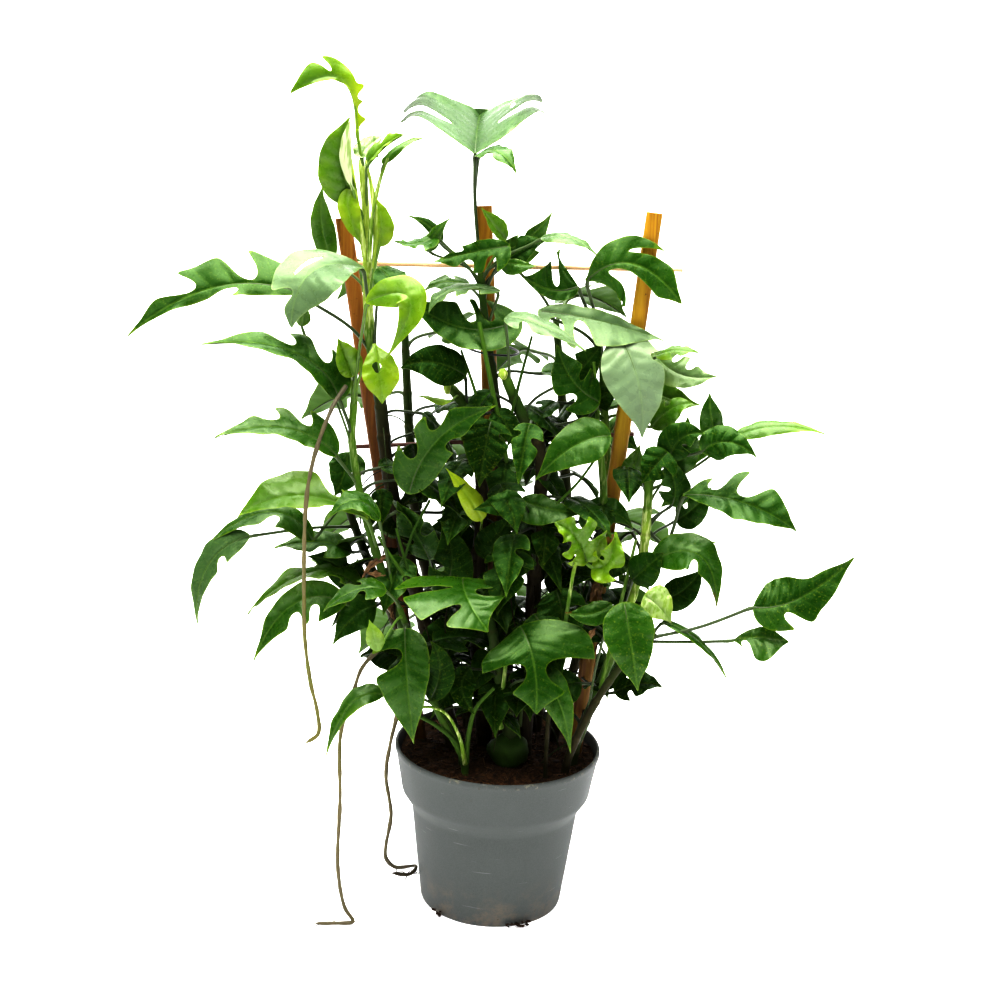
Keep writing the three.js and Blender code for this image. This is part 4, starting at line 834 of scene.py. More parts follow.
                 left=[(0.72, 0.5, 0.04)], right=[(0.74, 0.86, 0.1)], broad=0.5, slant=0.6, fold=2),
            leaf(0.96, (578, 286, -4), (552, 290, 0), (521, 276, 4), (8, 32), (-0.1, 0.95, 0.3), tone=0.36,
                 right=[(0.52, 0.9, 0.1)], fold=2),
            leaf(0.985, (538, 311, 0), (600, 321, 8), (666, 341, 12), (9, 28), (0, 0.7, 0.7), tone=0.45,
                 pale=0.25, right=[(0.2, 0.85), (0.44, 0.88)]),
            leaf(0.97, (618, 334, 12), (638, 382, 30), (642, 440, 32), (23, 26), (0.1, 0.75, 0.65),
                 tone=0.58, tip_tone=0.3, pale=0.5, left=[(0.34, 0.35, 0.05)], broad=0.36, fold=8),
            leaf(0.9, (655, 352, -14), (680, 374, -6), (718, 376, 0), (18, 14), FRONT, tone=0.72, pale=0.3,
                 left=[(0.35, 0.7), (0.65, 0.6)]),
            leaf(0.8, (650, 386, -16), (668, 398, -10), (702, 405, -6), (13, 15), FRONT, tone=0.7),
            leaf(0.3, (580, 640, 4), (594, 620, 12), (622, 606, 16), (19, 18), FRONT, tone=0.2,
                 left=[(0.45, 0.7)]),
            leaf(0.45, (588, 580, 0), (608, 564, 10), (644, 570, 14), (19, 17), FRONT, tone=0.2,
                 right=[(0.4, 0.7)]),
            leaf(0.54, (582, 528, 8), (608, 512, 22), (634, 530, 26), (14, 12), FRONT, tone=0.4),
            leaf(0.85, (652, 428, 10), (672, 408, 18), (694, 404, 20), (11, 13), (0.1, 0.6, 0.8), tone=0.6,
                 left=[(0.5, 0.7)]),
            leaf(0.8, (630, 486, 4), (634, 466, 8), (640, 444, 8), (10, 10), FRONT, tone=0.6),
            leaf(0.9, (656, 356, 0), (676, 350, 6), (700, 352, 6), (8, 9), UP, tone=0.66,
                 right=[(0.5, 0.6)]),
        ],
    ),
    "vine_far_right": dict(
        stem=[(574, 752, 16, 4.2), (598, 690, 20, 4.2), (624, 620, 24, 4), (642, 560, 26, 4),
              (648, 500, 28, 3.8), (650, 452, 28, 3.2)],
        tones=(0.2, 0.35, 0.65, 0.9, 0.92, 0.45),
        inner=(0.16, 0.8, 13),
        rootlets=5,
        stalks=[
            (((600, 690, 34), (612, 640, 36), (624, 590, 36), (636, 540, 34)), (1.8, 1.6, 1.5, 1.2), 0.7),
        ],
        leaves=[
            leaf(0.97, (718, 441, 30), (711, 417, 34), (710, 392, 34), (10, 10), FRONT, tone=0.4),
            leaf(0.94, (702, 452, 42), (728, 442, 50), (758, 458, 54), (14, 14), (0.2, 0.8, 0.6), tone=0.3,
                 quilt=2.0),
            leaf(0.9, (735, 437, 14), (776, 426, 18), (827, 434, 22), (8, 9), (0, 0.6, 0.8), tone=0.56,
                 tip_tone=0.72, via=(690, 470, 18)),
            leaf(0.85, (711, 441, 14), (702, 450, 20), (694, 467, 24), (7, 7), FRONT),
            leaf(0.8, (683, 495, 36), (742, 502, 48), (798, 532, 54), (28, 19), (0.2, 0.6, 0.75), tone=0.32,
                 left=[(0.3, 0.8, 0.08), (0.58, 0.85, 0.09)], broad=0.5, quilt=1.6, via=(664, 545, 26)),
            leaf(0.78, (690, 492, 20), (676, 496, 24), (660, 508, 28), (8, 8), FRONT, tone=0.4),
            leaf(0.66, (652, 561, 40), (700, 556, 52), (717, 609, 58), (19, 19), (0.3, 0.6, 0.75),
                 tone=0.45, dry=0.9, right=[(0.55, 0.6)]),
            leaf(0.6, (680, 549, 20), (700, 545, 24), (717, 541, 26), (4, 5), UP, tone=0.7),
            leaf(0.9, (668, 466, 22), (682, 446, 28), (688, 416, 28), (15, 16), FRONT, tone=0.4,
                 left=[(0.4, 0.7)]),
            leaf(0.5, (632, 580, 40), (648, 566, 46), (664, 552, 48), (14, 14), FRONT, tone=0.2),
            leaf(0.97, (668, 452, 40), (655, 466, 48), (641, 484, 52), (16, 14), FRONT, tone=0.12,
                 left=[(0.5, 0.7)]),
            leaf(0.92, (668, 462, 34), (682, 438, 40), (706, 434, 44), (15, 13), FRONT, tone=0.22,
                 right=[(0.5, 0.7)]),
            leaf(0.8, (672, 506, 30), (674, 482, 36), (660, 456, 40), (13, 13), FRONT, tone=0.25,
                 left=[(0.45, 0.7)]),
            leaf(0.75, (676, 520, 10), (694, 508, 16), (712, 486, 16), (12, 13), FRONT, tone=0.3,
                 left=[(0.45, 0.7)]),
            leaf(0.55, (660, 600, 20), (684, 590, 28), (704, 566, 28), (13, 13), FRONT, tone=0.2),
        ],
    ),
    "vine_front_right": dict(
        stem=[(566, 766, 40, 3.4), (590, 712, 50, 3.4), (616, 672, 58, 3.2), (640, 645, 62, 3),
              (656, 634, 64, 2.6)],
        tones=(0.06, 0.1, 0.2, 0.4),
        leaves=[
            leaf(0.9, (624, 602, 76), (631, 644, 90), (638, 693, 92), (20, 20), (0, 0.88, 0.45), tone=0.42,
                 speck=0.14, fold=8),
            leaf(0.97, (753, 607, 66), (800, 598, 72), (857, 555, 72), (22, 20), (0.1, 0.85, 0.5),
                 tone=0.34, speck=0.1, right=[(0.42, 0.68, 0.055)],
                 fingers=[(1, 0.64, -6, 0.13), (-1, 0.51, 4, 0.035)], slant=0.15, fold=4, crumple=1.6,
                 quilt=1.8, via=(700, 627, 66)),
            leaf(0.94, (731, 641, 62), (757, 637, 68), (790, 642, 70), (8, 20), (0.1, 0.8, 0.6), tone=0.42,
                 speck=0.15, right=[(0.34, 0.85, 0.1)], broad=0.6, via=(690, 642, 62)),
            leaf(0.98, (662, 622, 60), (698, 640, 64), (729, 681, 66), (8, 6), (0.5, 0.3, 0.8), tone=0.4),
            leaf(0.96, (644, 596, 56), (658, 606, 62), (672, 624, 64), (15, 13), FRONT, tone=0.8,
                 cream=0.35, dry=0.9),
            leaf(0.5, (612, 604, 62), (590, 614, 68), (564, 612, 70), (10, 9), FRONT, tone=0.4, dry=0.86),
        ],
    ),
    "vine_front_centre": dict(
        stem=[(512, 748, 26, 9), (508, 722, 28, 6.5), (500, 680, 32, 5), (492, 630, 34, 4.2),
              (486, 596, 34, 3.2)],
        tones=(0.2, 0.25, 0.4, 0.4, 0.4),
        stalks=[
            (((500, 728, 36), (496, 712, 38), (502, 694, 38), (506, 660, 38)), (3.4, 2.8, 2.0, 1.6), 0.8),
            (((520, 726, 30), (522, 700, 32), (526, 668, 36)), (1.6, 1.4, 1.2), 0.35),
        ],
        swellings=[
            ((509, 750, 27), (17.0, 14.0, 15.0), 0.5),
        ],
        leaves=[
            leaf(0.97, (463, 578, 50), (468, 600, 84), (489, 633, 100), (40, 52), (0, 0.55, 0.85),
                 left=[(0.45, 0.8, 0.12)], right=[(0.33, 0.85, 0.045), (0.66, 0.8, 0.05)], broad=0.32,
                 fold=4),
            leaf(0.7, (520, 626, 60), (534, 664, 84), (536, 716, 92), (48, 40), (0.1, 0.95, 0.3), tone=0.34,
                 left=[(0.66, 0.78, 0.12)], right=[(0.64, 0.8, 0.13)], broad=0.42, fold=4, quilt=0.6),
            leaf(0.6, (470, 668, 60), (462, 690, 70), (476, 716, 72), (11, 11), FRONT, tone=0.06),
            leaf(0.5, (531, 676, 74), (556, 696, 82), (571, 756, 84), (14, 15), (0.1, 0.85, 0.5), tone=0.4),
        ],
    ),
    "young_leaf_centre": dict(
        stem=[(550, 700, 46, 1.8), (564, 630, 56, 1.7), (574, 570, 62, 1.6), (580, 548, 62, 1.4)],
        tones=(0.1, 0.15, 0.5, 1),
        leaves=[
            leaf(0.98, (587, 562, 62), (575, 537, 72), (554, 522, 70), (19, 23), FRONT, tone=0.73,
                 left=[(0.3, 0.6, 0.04), (0.56, 0.65)], right=[(0.4, 0.7, 0.04), (0.66, 0.6)], fold=26,
                 crumple=8.0, quilt=2.0, frill=2.4),
            leaf(0.96, (592, 568, 62), (610, 560, 72), (616, 530, 70), (14, 15), FRONT, tone=0.8,
                 left=[(0.5, 0.7)], right=[(0.45, 0.6)], fold=24, crumple=7.0, quilt=2.0, frill=3.0),
        ],
    ),
    "vine_back_left": dict(
        stem=[(468, 712, -52, 5.4), (446, 640, -57, 5.2), (420, 540, -60, 5), (410, 440, -58, 4.4),
              (406, 360, -54, 3.6), (404, 300, -50, 2.8)],
        tones=(0, 0.05, 0.1, 0.2, 0.35, 0.5),
        inner=(0.2, 0.8, 9),
        rootlets=4,
        leaves=[
            leaf(0.99, (398, 280, -64), (372, 276, -92), (336, 300, -110), (26, 24), BACK, tone=0.45,
                 left=[(0.4, 0.75)], right=[(0.5, 0.75)]),
            leaf(0.9, (440, 330, -78), (464, 330, -104), (496, 352, -124), (26, 26), BACK, tone=0.4,
                 left=[(0.35, 0.75)], right=[(0.5, 0.75)]),
            leaf(0.8, (372, 400, -84), (340, 396, -106), (300, 420, -122), (25, 23), BACK, tone=0.45,
                 left=[(0.4, 0.75)], right=[(0.5, 0.75)]),
            leaf(0.68, (440, 440, -86), (460, 442, -112), (480, 470, -134), (27, 26), BACK, tone=0.4,
                 left=[(0.55, 0.75)], right=[(0.42, 0.75)]),
            leaf(0.56, (380, 510, -86), (352, 516, -108), (316, 548, -122), (26, 24), BACK, tone=0.4,
                 left=[(0.5, 0.75)], right=[(0.4, 0.75), (0.62, 0.7)]),
            leaf(0.44, (444, 560, -88), (456, 566, -114), (470, 596, -136), (24, 25), BACK, tone=0.35,
                 left=[(0.45, 0.75)]),
            leaf(0.5, (436, 556, -38), (458, 546, -34), (488, 562, -34), (24, 22), FRONT, tone=0.15,
                 left=[(0.4, 0.7)]),
            leaf(0.36, (432, 640, -40), (452, 640, -34), (474, 668, -32), (22, 22), FRONT, tone=0.15,
                 right=[(0.45, 0.7)]),
            leaf(0.34, (404, 620, -86), (384, 626, -108), (358, 654, -126), (24, 22), BACK, tone=0.4,
                 right=[(0.45, 0.75)]),
        ],
    ),
    "vine_back_right": dict(
        stem=[(536, 721, -50, 5.4), (556, 640, -56, 5.2), (566, 540, -58, 5), (564, 440, -56, 4.4),
              (560, 370, -52, 3.6), (556, 320, -48, 2.8)],
        tones=(0, 0.05, 0.1, 0.2, 0.35, 0.5),
        inner=(0.2, 0.8, 9),
        rootlets=4,
        leaves=[
            leaf(0.98, (496, 250, -36), (524, 242, -32), (553, 211, -30), (8, 17), FRONT, tone=0.45,
                 left=[(0.55, 0.6)], right=[(0.66, 0.6)]),
            leaf(0.99, (566, 300, -62), (592, 296, -88), (628, 318, -106), (25, 26), BACK, tone=0.45,
                 left=[(0.5, 0.75)], right=[(0.4, 0.75)]),
            leaf(0.9, (532, 350, -80), (516, 352, -106), (494, 374, -128), (25, 25), BACK, tone=0.4,
                 left=[(0.45, 0.75)], right=[(0.35, 0.75), (0.6, 0.7)]),
            leaf(0.8, (604, 410, -82), (634, 408, -104), (672, 432, -120), (26, 24), BACK, tone=0.45,
                 left=[(0.4, 0.75)], right=[(0.5, 0.75)]),
            leaf(0.66, (530, 470, -88), (516, 474, -114), (500, 500, -136), (26, 26), BACK, tone=0.4,
                 left=[(0.38, 0.75)], right=[(0.55, 0.75)]),
            leaf(0.54, (612, 520, -84), (640, 524, -106), (674, 552, -122), (24, 26), BACK, tone=0.45,
                 left=[(0.42, 0.75)], right=[(0.55, 0.75)]),
            leaf(0.42, (544, 590, -90), (540, 596, -116), (536, 622, -138), (25, 25), BACK, tone=0.35,
                 right=[(0.45, 0.75)]),
            leaf(0.5, (544, 560, -38), (522, 552, -34), (494, 580, -32), (24, 22), FRONT, tone=0.15,
                 left=[(0.4, 0.7)]),
            leaf(0.36, (566, 622, -40), (592, 612, -38), (622, 634, -38), (22, 22), FRONT, tone=0.15,
                 right=[(0.45, 0.7)]),
            leaf(0.7, (586, 446, -40), (610, 434, -38), (640, 452, -38), (20, 20), FRONT, tone=0.3,
                 left=[(0.45, 0.7)]),
            leaf(0.32, (598, 630, -84), (618, 636, -106), (640, 662, -122), (22, 24), BACK, tone=0.4,
                 left=[(0.45, 0.75)]),
        ],
    ),
}


def add_stem(builder, vine, rng):
    """A stem with swollen nodes and ring scars; its foot is buried in the soil. Returns its curve."""
    points = [seen(px, py, out) for px, py, out, _ in vine["stem"]]
    foot = points[0]
    deep = [np.array([foot[0], foot[1], SOIL_TOP - d]) for d in (STEM_BURIED, STEM_BURIED / 2)]
    curve = catmull(deep + points, 400)
    run = length_of(curve)
    steps = int(run / 2.2)
    share = np.linspace(0, 1, steps + 1)
    radii = spread([radius for *_, radius in vine["stem"]], share)
    gap = 15 + 3.2 * radii.mean()
    ring = np.zeros(steps + 1)
    place = rng.uniform(0.3, 1.0) * gap
    while place < run - 4:
        shift = share * run - place
        swollen = 0.13 * np.exp(-((shift / 2.6) ** 2)) - 0.06 * np.exp(-(((shift - 3.2) / 1.6) ** 2))
        radii = radii * (1 + swollen)
        ring = np.maximum(ring, np.exp(-(((shift - 2.4) / 1.1) ** 2)))
        place += gap * rng.uniform(0.75, 1.25)
    close = np.clip((run - share * run) / 6.0, 0, 1)
    radii = radii * (0.35 + 0.65 * np.sqrt(close))
    shell, faces = tube(evenly(curve, steps), radii, STEM_SIDES, wobble=0.035, rng=rng)
    green = spread(vine["tones"], share)
    tone = np.concatenate([np.repeat(green, STEM_SIDES), [green[0], green[-1]]])
    builder.add(shell, faces, slot=2, tone=tone, ring=np.concatenate([np.repeat(ring, STEM_SIDES), [0, 0]]))
    return curve


def shaded_leaf(at, start, rng):
    """A small dark leaf that fills the shade between the stems, spread outwards and hanging a little."""
    way = rng.uniform(0, TURN)
    out = np.array([math.cos(way), math.sin(way), 0.0])
    reach = rng.uniform(14, 42)
    base = start + out * reach + np.array([0, 0, rng.uniform(4, 26)])
    # A blade that would leave the plant's shade is turned back towards the middle.
    if math.hypot(base[0] * 0.75, base[1] * 1.5) > SHADE_RADIUS:
        out = unit(np.array([-base[0], -base[1], 0.0]) + 20 * out)
        base = start + out * reach + np.array([0, 0, rng.uniform(4, 26)])
    length = rng.uniform(34, 62)
    dip = math.radians(rng.uniform(5, 70))
    along = out * math.cos(dip) + np.array([0, 0, -math.sin(dip)])
    along = unit(along + np.array([rng.uniform(-0.4, 0.4), rng.uniform(-0.4, 0.4), 0]))
    tip = base + along * length
    base[2] = max(base[2], SOIL_TOP + 50)
    tip[2] = max(tip[2], SOIL_TOP + 34 + 0.5 * abs(base[0]))
    over = 0.5 * (base + tip) + np.array([0, 0, 0.12 * length])
    face = unit(out * 0.5 + np.array([0, 0, 1.0]) + np.array([0, -0.35, 0]))
    half = rng.uniform(0.26, 0.36) * length
    cuts = []
    for _ in range(2):
        cut = rng.random() < 0.55
        cuts.append([(rng.uniform(0.32, 0.5), rng.uniform(0.55, 0.8))] if cut else [])
    halves = (half, half * rng.uniform(0.85, 1.1))
    # Painted shade: the low tone darkens these inner leaves where the plant's middle lies in shade.
    return leaf(
        at, None, None, None, halves, (face[0], -face[1], face[2]), spots=[base, over, tip], coarse=1.35,
        tone=rng.uniform(0.0, 0.28), left=cuts[0], right=cuts[1], fold=rng.uniform(4, 20),
    )


def inner_leaves(vine, curve, rng):
    low, high, count = vine.get("inner", (0, 0, 0))
    made = []
    for i in range(count):
        at = low + (high - low) * (i + rng.random()) / count
        made.append(shaded_leaf(at, at_share(curve, at), rng))
    return made


def add_rootlets(builder, curve, rng, count):
    """Thin dark roots that leave a stem and bend down among the petioles."""
    for _ in range(count):
        start = at_share(curve, rng.uniform(0.15, 0.62))
        way = rng.uniform(0, TURN)
        out = np.array([math.cos(way), 0.8 * math.sin(way), 0.0])
        run = rng.uniform(18, 60)
        first = start + out * run * 0.4 + np.array([0, 0, rng.uniform(-4, 9)])
        second = first + out * run * 0.3 + np.array([rng.uniform(-6, 6), rng.uniform(-6, 6), -0.5 * run])
        end = second + np.array([rng.uniform(-8, 8), rng.uniform(-8, 8), -0.5 * run])
        end[2] = max(end[2], SOIL_TOP + 2)
        radius = rng.uniform(0.45, 0.85)
        tone = rng.choice((0.0, 0.05, 0.3))
        # One that would end low over the rim is left out.
        if end[2] < SOIL_TOP + 60 and math.hypot(end[0], end[1]) > 58:
            continue
        shell, faces = tube(cubic(start, first, second, end, 16), np.linspace(radius, radius * 0.8, 17), 6)
        builder.add(shell, faces, slot=2, tone=tone)


def add_stalk(builder, route, radii, tone):
    """A smooth stalk through points seen in the photograph."""
    path = catmull([seen(*spot) for spot in route], 48)
    shell, faces = tube(path, spread(radii, np.linspace(0, 1, len(path))), 10)
    builder.add(shell, faces, slot=2, tone=tone)


def add_swelling(builder, spot, sizes, tone, rng):
    """A rounded bud or stem foot: a lumpy closed ball."""
    centre = seen(*spot)
    rows, count = 14, 20
    lumps = [rng.uniform(0, 6.28) for _ in range(4)]
    points = []
    for i in range(rows + 1):
        tilt = math.pi * i / rows
        for k in range(count if 0 < i < rows else 1):
            turn = TURN * k / count
            lump = 1 + 0.05 * math.sin(3 * turn + lumps[0] + 2 * tilt)
            lump += 0.04 * math.sin(5 * tilt + lumps[1] + turn)
            lump += 0.03 * math.sin(7 * turn + lumps[2] - 4 * tilt)
            way = [math.sin(tilt) * math.cos(turn), math.sin(tilt) * math.sin(turn), math.cos(tilt)]
            points.append(centre + np.array(way) * np.array(sizes) * lump)
    bottom = 1 + (rows - 2) * count
    faces = fan(0, 1, count) + band(rows - 1, count, first=1, down=True)
    faces += fan(len(points) - 1, bottom, count, back=True)
    builder.add(points, faces, slot=2, tone=tone, ring=0.8 if tone < 0.5 else 0.0)


def vine_piece(name, vine, materials):
    rng = random.Random(name)
    builder = Builder("tone", "phase", "mid", "under", "rim", "ring", "dry", "speck", "cream", "pale")
    curve = add_stem(builder, vine, rng)
    for spec in vine["leaves"] + inner_leaves(vine, curve, rng):
        blade = Blade(spec, rng)
        add_blade(builder, blade)
        add_petiole(builder, blade, at_share(curve, spec["at"]), rng.uniform(0.2, 1.0))
    add_rootlets(builder, curve, rng, vine.get("rootlets", 0))
    for spec in vine.get("husks", []):
        add_blade(builder, Blade(spec, rng))
    for stalk in vine.get("stalks", []):
        add_stalk(builder, *stalk)
    for swelling in vine.get("swellings", []):
        add_swelling(builder, *swelling, rng)
    builder.piece(name, "foliage_young" if name.startswith("young") else "foliage", materials)


# Materials. Every one is made of nodes and varies over its surface; several read values that the meshes
# carry.
class Nodes:
    def __init__(self, name):
        self.material = bpy.data.materials.new(name)
        self.material.use_nodes = True
        self.tree = self.material.node_tree
        self.tree.nodes.clear()
        self.output = self.tree.nodes.new("ShaderNodeOutputMaterial")

    def node(self, kind, **settings):
        made = self.tree.nodes.new(kind)
        for key, value in settings.items():
            setattr(made, key, value)
        return made

    def link(self, out, into):
        if isinstance(out, (int, float)):
            into.default_value = out
        elif isinstance(out, tuple):
            into.default_value = (*out, 1.0)[: len(into.default_value)]
        else:
            self.tree.links.new(out, into)

    def value(self, name):
        return self.node("ShaderNodeAttribute", attribute_name=name).outputs["Fac"]

    def math(self, operation, a, b=0.0, clamp=False):
        made = self.node("ShaderNodeMath", operation=operation, use_clamp=clamp)
        self.link(a, made.inputs[0])
        self.link(b, made.inputs[1])
        return made.outputs[0]

    def add(self, a, b, clamp=False):
        return self.math("ADD", a, b, clamp)

    def times(self, a, b):
        return self.math("MULTIPLY", a, b)

    def mottled(self, tone, patches, amount):
        """A tone between 0 and 1 that wanders with the patches."""
        return self.add(tone, self.times(self.math("SUBTRACT", patches, 0.5), amount), clamp=True)

    def span(self, value, low, high, to_low=0.0, to_high=1.0, smooth=True):
        made = self.node("ShaderNodeMapRange", interpolation_type="SMOOTHSTEP" if smooth else "LINEAR")
        self.link(value, made.inputs[0])
        for i, number in enumerate((low, high, to_low, to_high)):
            made.inputs[1 + i].default_value = number
        return made.outputs[0]

    def mix(self, share, a, b):
        made = self.node("ShaderNodeMix", data_type="RGBA")
        self.link(share, made.inputs[0])
        self.link(a, made.inputs[6])
        self.link(b, made.inputs[7])
        return made.outputs[2]

    def ramp(self, value, *stops):
        made = self.node("ShaderNodeValToRGB")
        self.link(value, made.inputs[0])
        elements = made.color_ramp.elements
        elements[0].position, elements[0].color = stops[0][0], (*stops[0][1], 1)
        elements[1].position, elements[1].color = stops[-1][0], (*stops[-1][1], 1)
        for place, colour in stops[1:-1]:
            elements.new(place).color = (*colour, 1)
        return made.outputs[0]

    def object_place(self):
        return self.node("ShaderNodeTexCoord").outputs["Object"]

    def height(self):
        split = self.node("ShaderNodeSeparateXYZ")
        self.link(self.object_place(), split.inputs[0])
        return split.outputs[2]

    def noise(self, scale, detail=3.0, rough=0.5, stretch=(1, 1, 1)):
        where = self.node("ShaderNodeMapping")
        self.link(self.object_place(), where.inputs[0])
        where.inputs["Scale"].default_value = stretch
        made = self.node("ShaderNodeTexNoise")
        self.link(where.outputs[0], made.inputs["Vector"])
        made.inputs["Scale"].default_value = scale
        made.inputs["Detail"].default_value = detail
        made.inputs["Roughness"].default_value = rough
        return made.outputs[0]

    def cells(self, scale):
        made = self.node("ShaderNodeTexVoronoi", feature="DISTANCE_TO_EDGE")
        self.link(self.object_place(), made.inputs["Vector"])
        made.inputs["Scale"].default_value = scale
        return made.outputs["Distance"]

    def bump(self, height, distance, strength, below=None):
        made = self.node("ShaderNodeBump")
        made.inputs["Strength"].default_value = strength
        made.inputs["Distance"].default_value = distance
        self.link(height, made.inputs["Height"])
        if below is not None:
            self.link(below, made.inputs["Normal"])
        return made.outputs[0]

    def surface(self, colour, roughness, normal=None, specular=0.5, tint=(1.0, 1.0, 1.0)):
        made = self.node("ShaderNodeBsdfPrincipled")
        self.link(colour, made.inputs["Base Color"])
        self.link(roughness, made.inputs["Roughness"])
        self.link(specular, made.inputs["Specular IOR Level"])
        self.link(tint, made.inputs["Specular Tint"])
        if normal is not None:
            self.link(normal, made.inputs["Normal"])
        return made.outputs[0]

    def done(self, shader):
        self.link(shader, self.output.inputs["Surface"])
        return self.material


def leaf_veins(n):
    """How strongly side veins and the net between them show."""
    off = n.math("ABSOLUTE", n.math("SUBTRACT", n.math("FRACT", n.add(n.value("phase"), 0.5)), 0.5))
    side = n.span(off, 0.02, 0.10, 1.0, 0.0)
    halfway = n.span(off, 0.44, 0.50, 0.0, 0.45)
    net = n.span(n.cells(420), 0.0, 0.09, 0.5, 0.0)
    return n.math("MAXIMUM", n.math("MAXIMUM", side, halfway), net), net


def leaf_material():
    n = Nodes("leaf_blade")
    under = n.value("under")
    blotches = n.noise(120, 3)
    uneven = n.add(n.times(n.noise(34, 4), 0.30), n.times(blotches, 0.12))
    tone = n.add(n.value("tone"), n.math("SUBTRACT", uneven, 0.21), clamp=True)
    colour = n.ramp(
        tone,
        (0.0, (0.003, 0.013, 0.001)),
        (0.15, (0.005, 0.025, 0.001)),
        (0.3, (0.010, 0.048, 0.002)),
        (0.5, (0.026, 0.094, 0.004)),
        (0.7, (0.085, 0.190, 0.007)),
        (0.85, (0.200, 0.320, 0.010)),
        (1.0, (0.360, 0.460, 0.016)),
    )
    vein, net = leaf_veins(n)
    rib = n.span(n.value("mid"), 0.5, 1.2, 1.0, 0.0)
    lighter = n.mix(0.5, colour, (0.26, 0.42, 0.06))
    colour = n.mix(n.times(vein, 0.12), colour, lighter)
    colour = n.mix(n.times(rib, n.span(tone, 0.0, 0.5, 0.10, 0.36)), colour, lighter)
    # Painted rim light: the blade margins are lightened towards yellow green, as if lit from behind.
    edge = n.times(n.span(n.value("rim"), 0.45, 1.0), n.span(tone, 0.1, 0.6, 0.12, 0.6))
    colour = n.mix(edge, colour, n.mix(0.5, colour, (0.34, 0.44, 0.02)))
    specks = n.times(n.span(n.noise(640, 2), 0.60, 0.68, 0.0, 0.8), n.add(n.value("speck"), 0.12))
    colour = n.mix(specks, colour, (0.42, 0.46, 0.05))
    # Painted sheen: these leaves are mixed towards a silvery grey green, as if they reflected the bright
    # light above.
    colour = n.mix(n.value("pale"), colour, (0.32, 0.385, 0.27))
    stripe = n.span(n.noise(420, 2, stretch=(1, 1, 0.12)), 0.42, 0.56, 0.35, 1.0)
    colour = n.mix(n.times(stripe, n.value("cream")), colour, (0.60, 0.66, 0.40))
    colour = n.mix(n.value("dry"), colour, (0.110, 0.040, 0.010))
    colour = n.mix(under, colour, n.mix(0.45, colour, (0.13, 0.25, 0.04)))
    normal = n.bump(n.add(n.times(n.noise(900, 2), 0.35), n.times(net, -0.9)), 0.00012, 0.6)
    rough = n.add(n.span(blotches, 0.3, 0.7, 0.22, 0.36), n.times(under, 0.22))
    sheen = n.span(tone, 0.12, 0.5, 0.15, 0.55)
    tint = n.ramp(tone, (0.1, (0.40, 1.0, 0.18)), (0.36, (0.72, 1.0, 0.45)), (0.6, (1.0, 1.0, 0.82)))
    gloss = n.surface(colour, rough, normal, specular=sheen, tint=tint)
    through = n.node("ShaderNodeBsdfTranslucent")
    n.link(n.mix(0.5, colour, (0.25, 0.45, 0.02)), through.inputs["Color"])
    mixed = n.node("ShaderNodeMixShader")
    n.link(n.span(tone, 0.1, 1.0, 0.06, 0.30, smooth=False), mixed.inputs[0])
    n.link(gloss, mixed.inputs[1])
    n.link(through.outputs[0], mixed.inputs[2])
    return n.done(mixed.outputs[0])


def petiole_material():
    n = Nodes("petiole")
    patches = n.noise(120, 3)
    colour = n.ramp(
        n.mottled(n.value("tone"), patches, 0.4),
        (0.0, (0.012, 0.016, 0.006)),
        (0.3, (0.028, 0.042, 0.016)),
        (0.55, (0.060, 0.100, 0.026)),
        (0.8, (0.120, 0.220, 0.024)),
        (1.0, (0.300, 0.420, 0.040)),
    )
    colour = n.mix(n.span(n.value("ring"), 0.3, 0.9, 0.0, 0.7), colour, (0.10, 0.055, 0.025))
    normal = n.bump(n.noise(700, 3), 0.0002, 0.5)
    return n.done(n.surface(colour, n.span(patches, 0.3, 0.7, 0.3, 0.5), normal, tint=(0.90, 1.0, 0.74)))


def stem_material():
    n = Nodes("stem")
    tone = n.value("tone")
    ring = n.value("ring")
    patches = n.noise(70, 4, 0.6)
    streaks = n.noise(60, 4, 0.6, stretch=(9, 9, 1))
    colour = n.ramp(
        n.mottled(tone, patches, 0.3),
        (0.0, (0.016, 0.010, 0.004)),
        (0.2, (0.022, 0.024, 0.007)),
        (0.5, (0.030, 0.072, 0.009)),
        (0.8, (0.095, 0.190, 0.018)),
        (1.0, (0.330, 0.440, 0.070)),
    )
    striped = n.span(streaks, 0.48, 0.62)
    barked = n.times(striped, n.span(tone, 0.3, 0.1, 0.0, 0.45))
    colour = n.mix(barked, colour, (0.045, 0.032, 0.015))
    fresh = n.times(striped, n.span(tone, 0.6, 0.95, 0.0, 0.7))
    colour = n.mix(fresh, colour, (0.70, 0.74, 0.36))
    colour = n.mix(n.times(ring, 0.35), colour, (0.07, 0.055, 0.022))
    height = n.math("SUBTRACT", streaks, n.times(ring, 0.5))
    normal = n.bump(height, 0.0006, 0.6, n.bump(n.noise(600, 2), 0.0002, 0.4))
    rough = n.span(patches, 0.3, 0.7, 0.45, 0.68)
    return n.done(n.surface(colour, rough, normal, specular=0.2, tint=(1.0, 0.94, 0.66)))


def dry_material():
    n = Nodes("dry_sheath")
    colour = n.ramp(
        n.noise(160, 4), (0.3, (0.060, 0.028, 0.010)), (0.5, (0.16, 0.085, 0.030)), (0.7, (0.30, 0.19, 0.080))
    )
    return n.done(n.surface(colour, 0.75, n.bump(n.noise(500, 3), 0.0003, 0.7)))


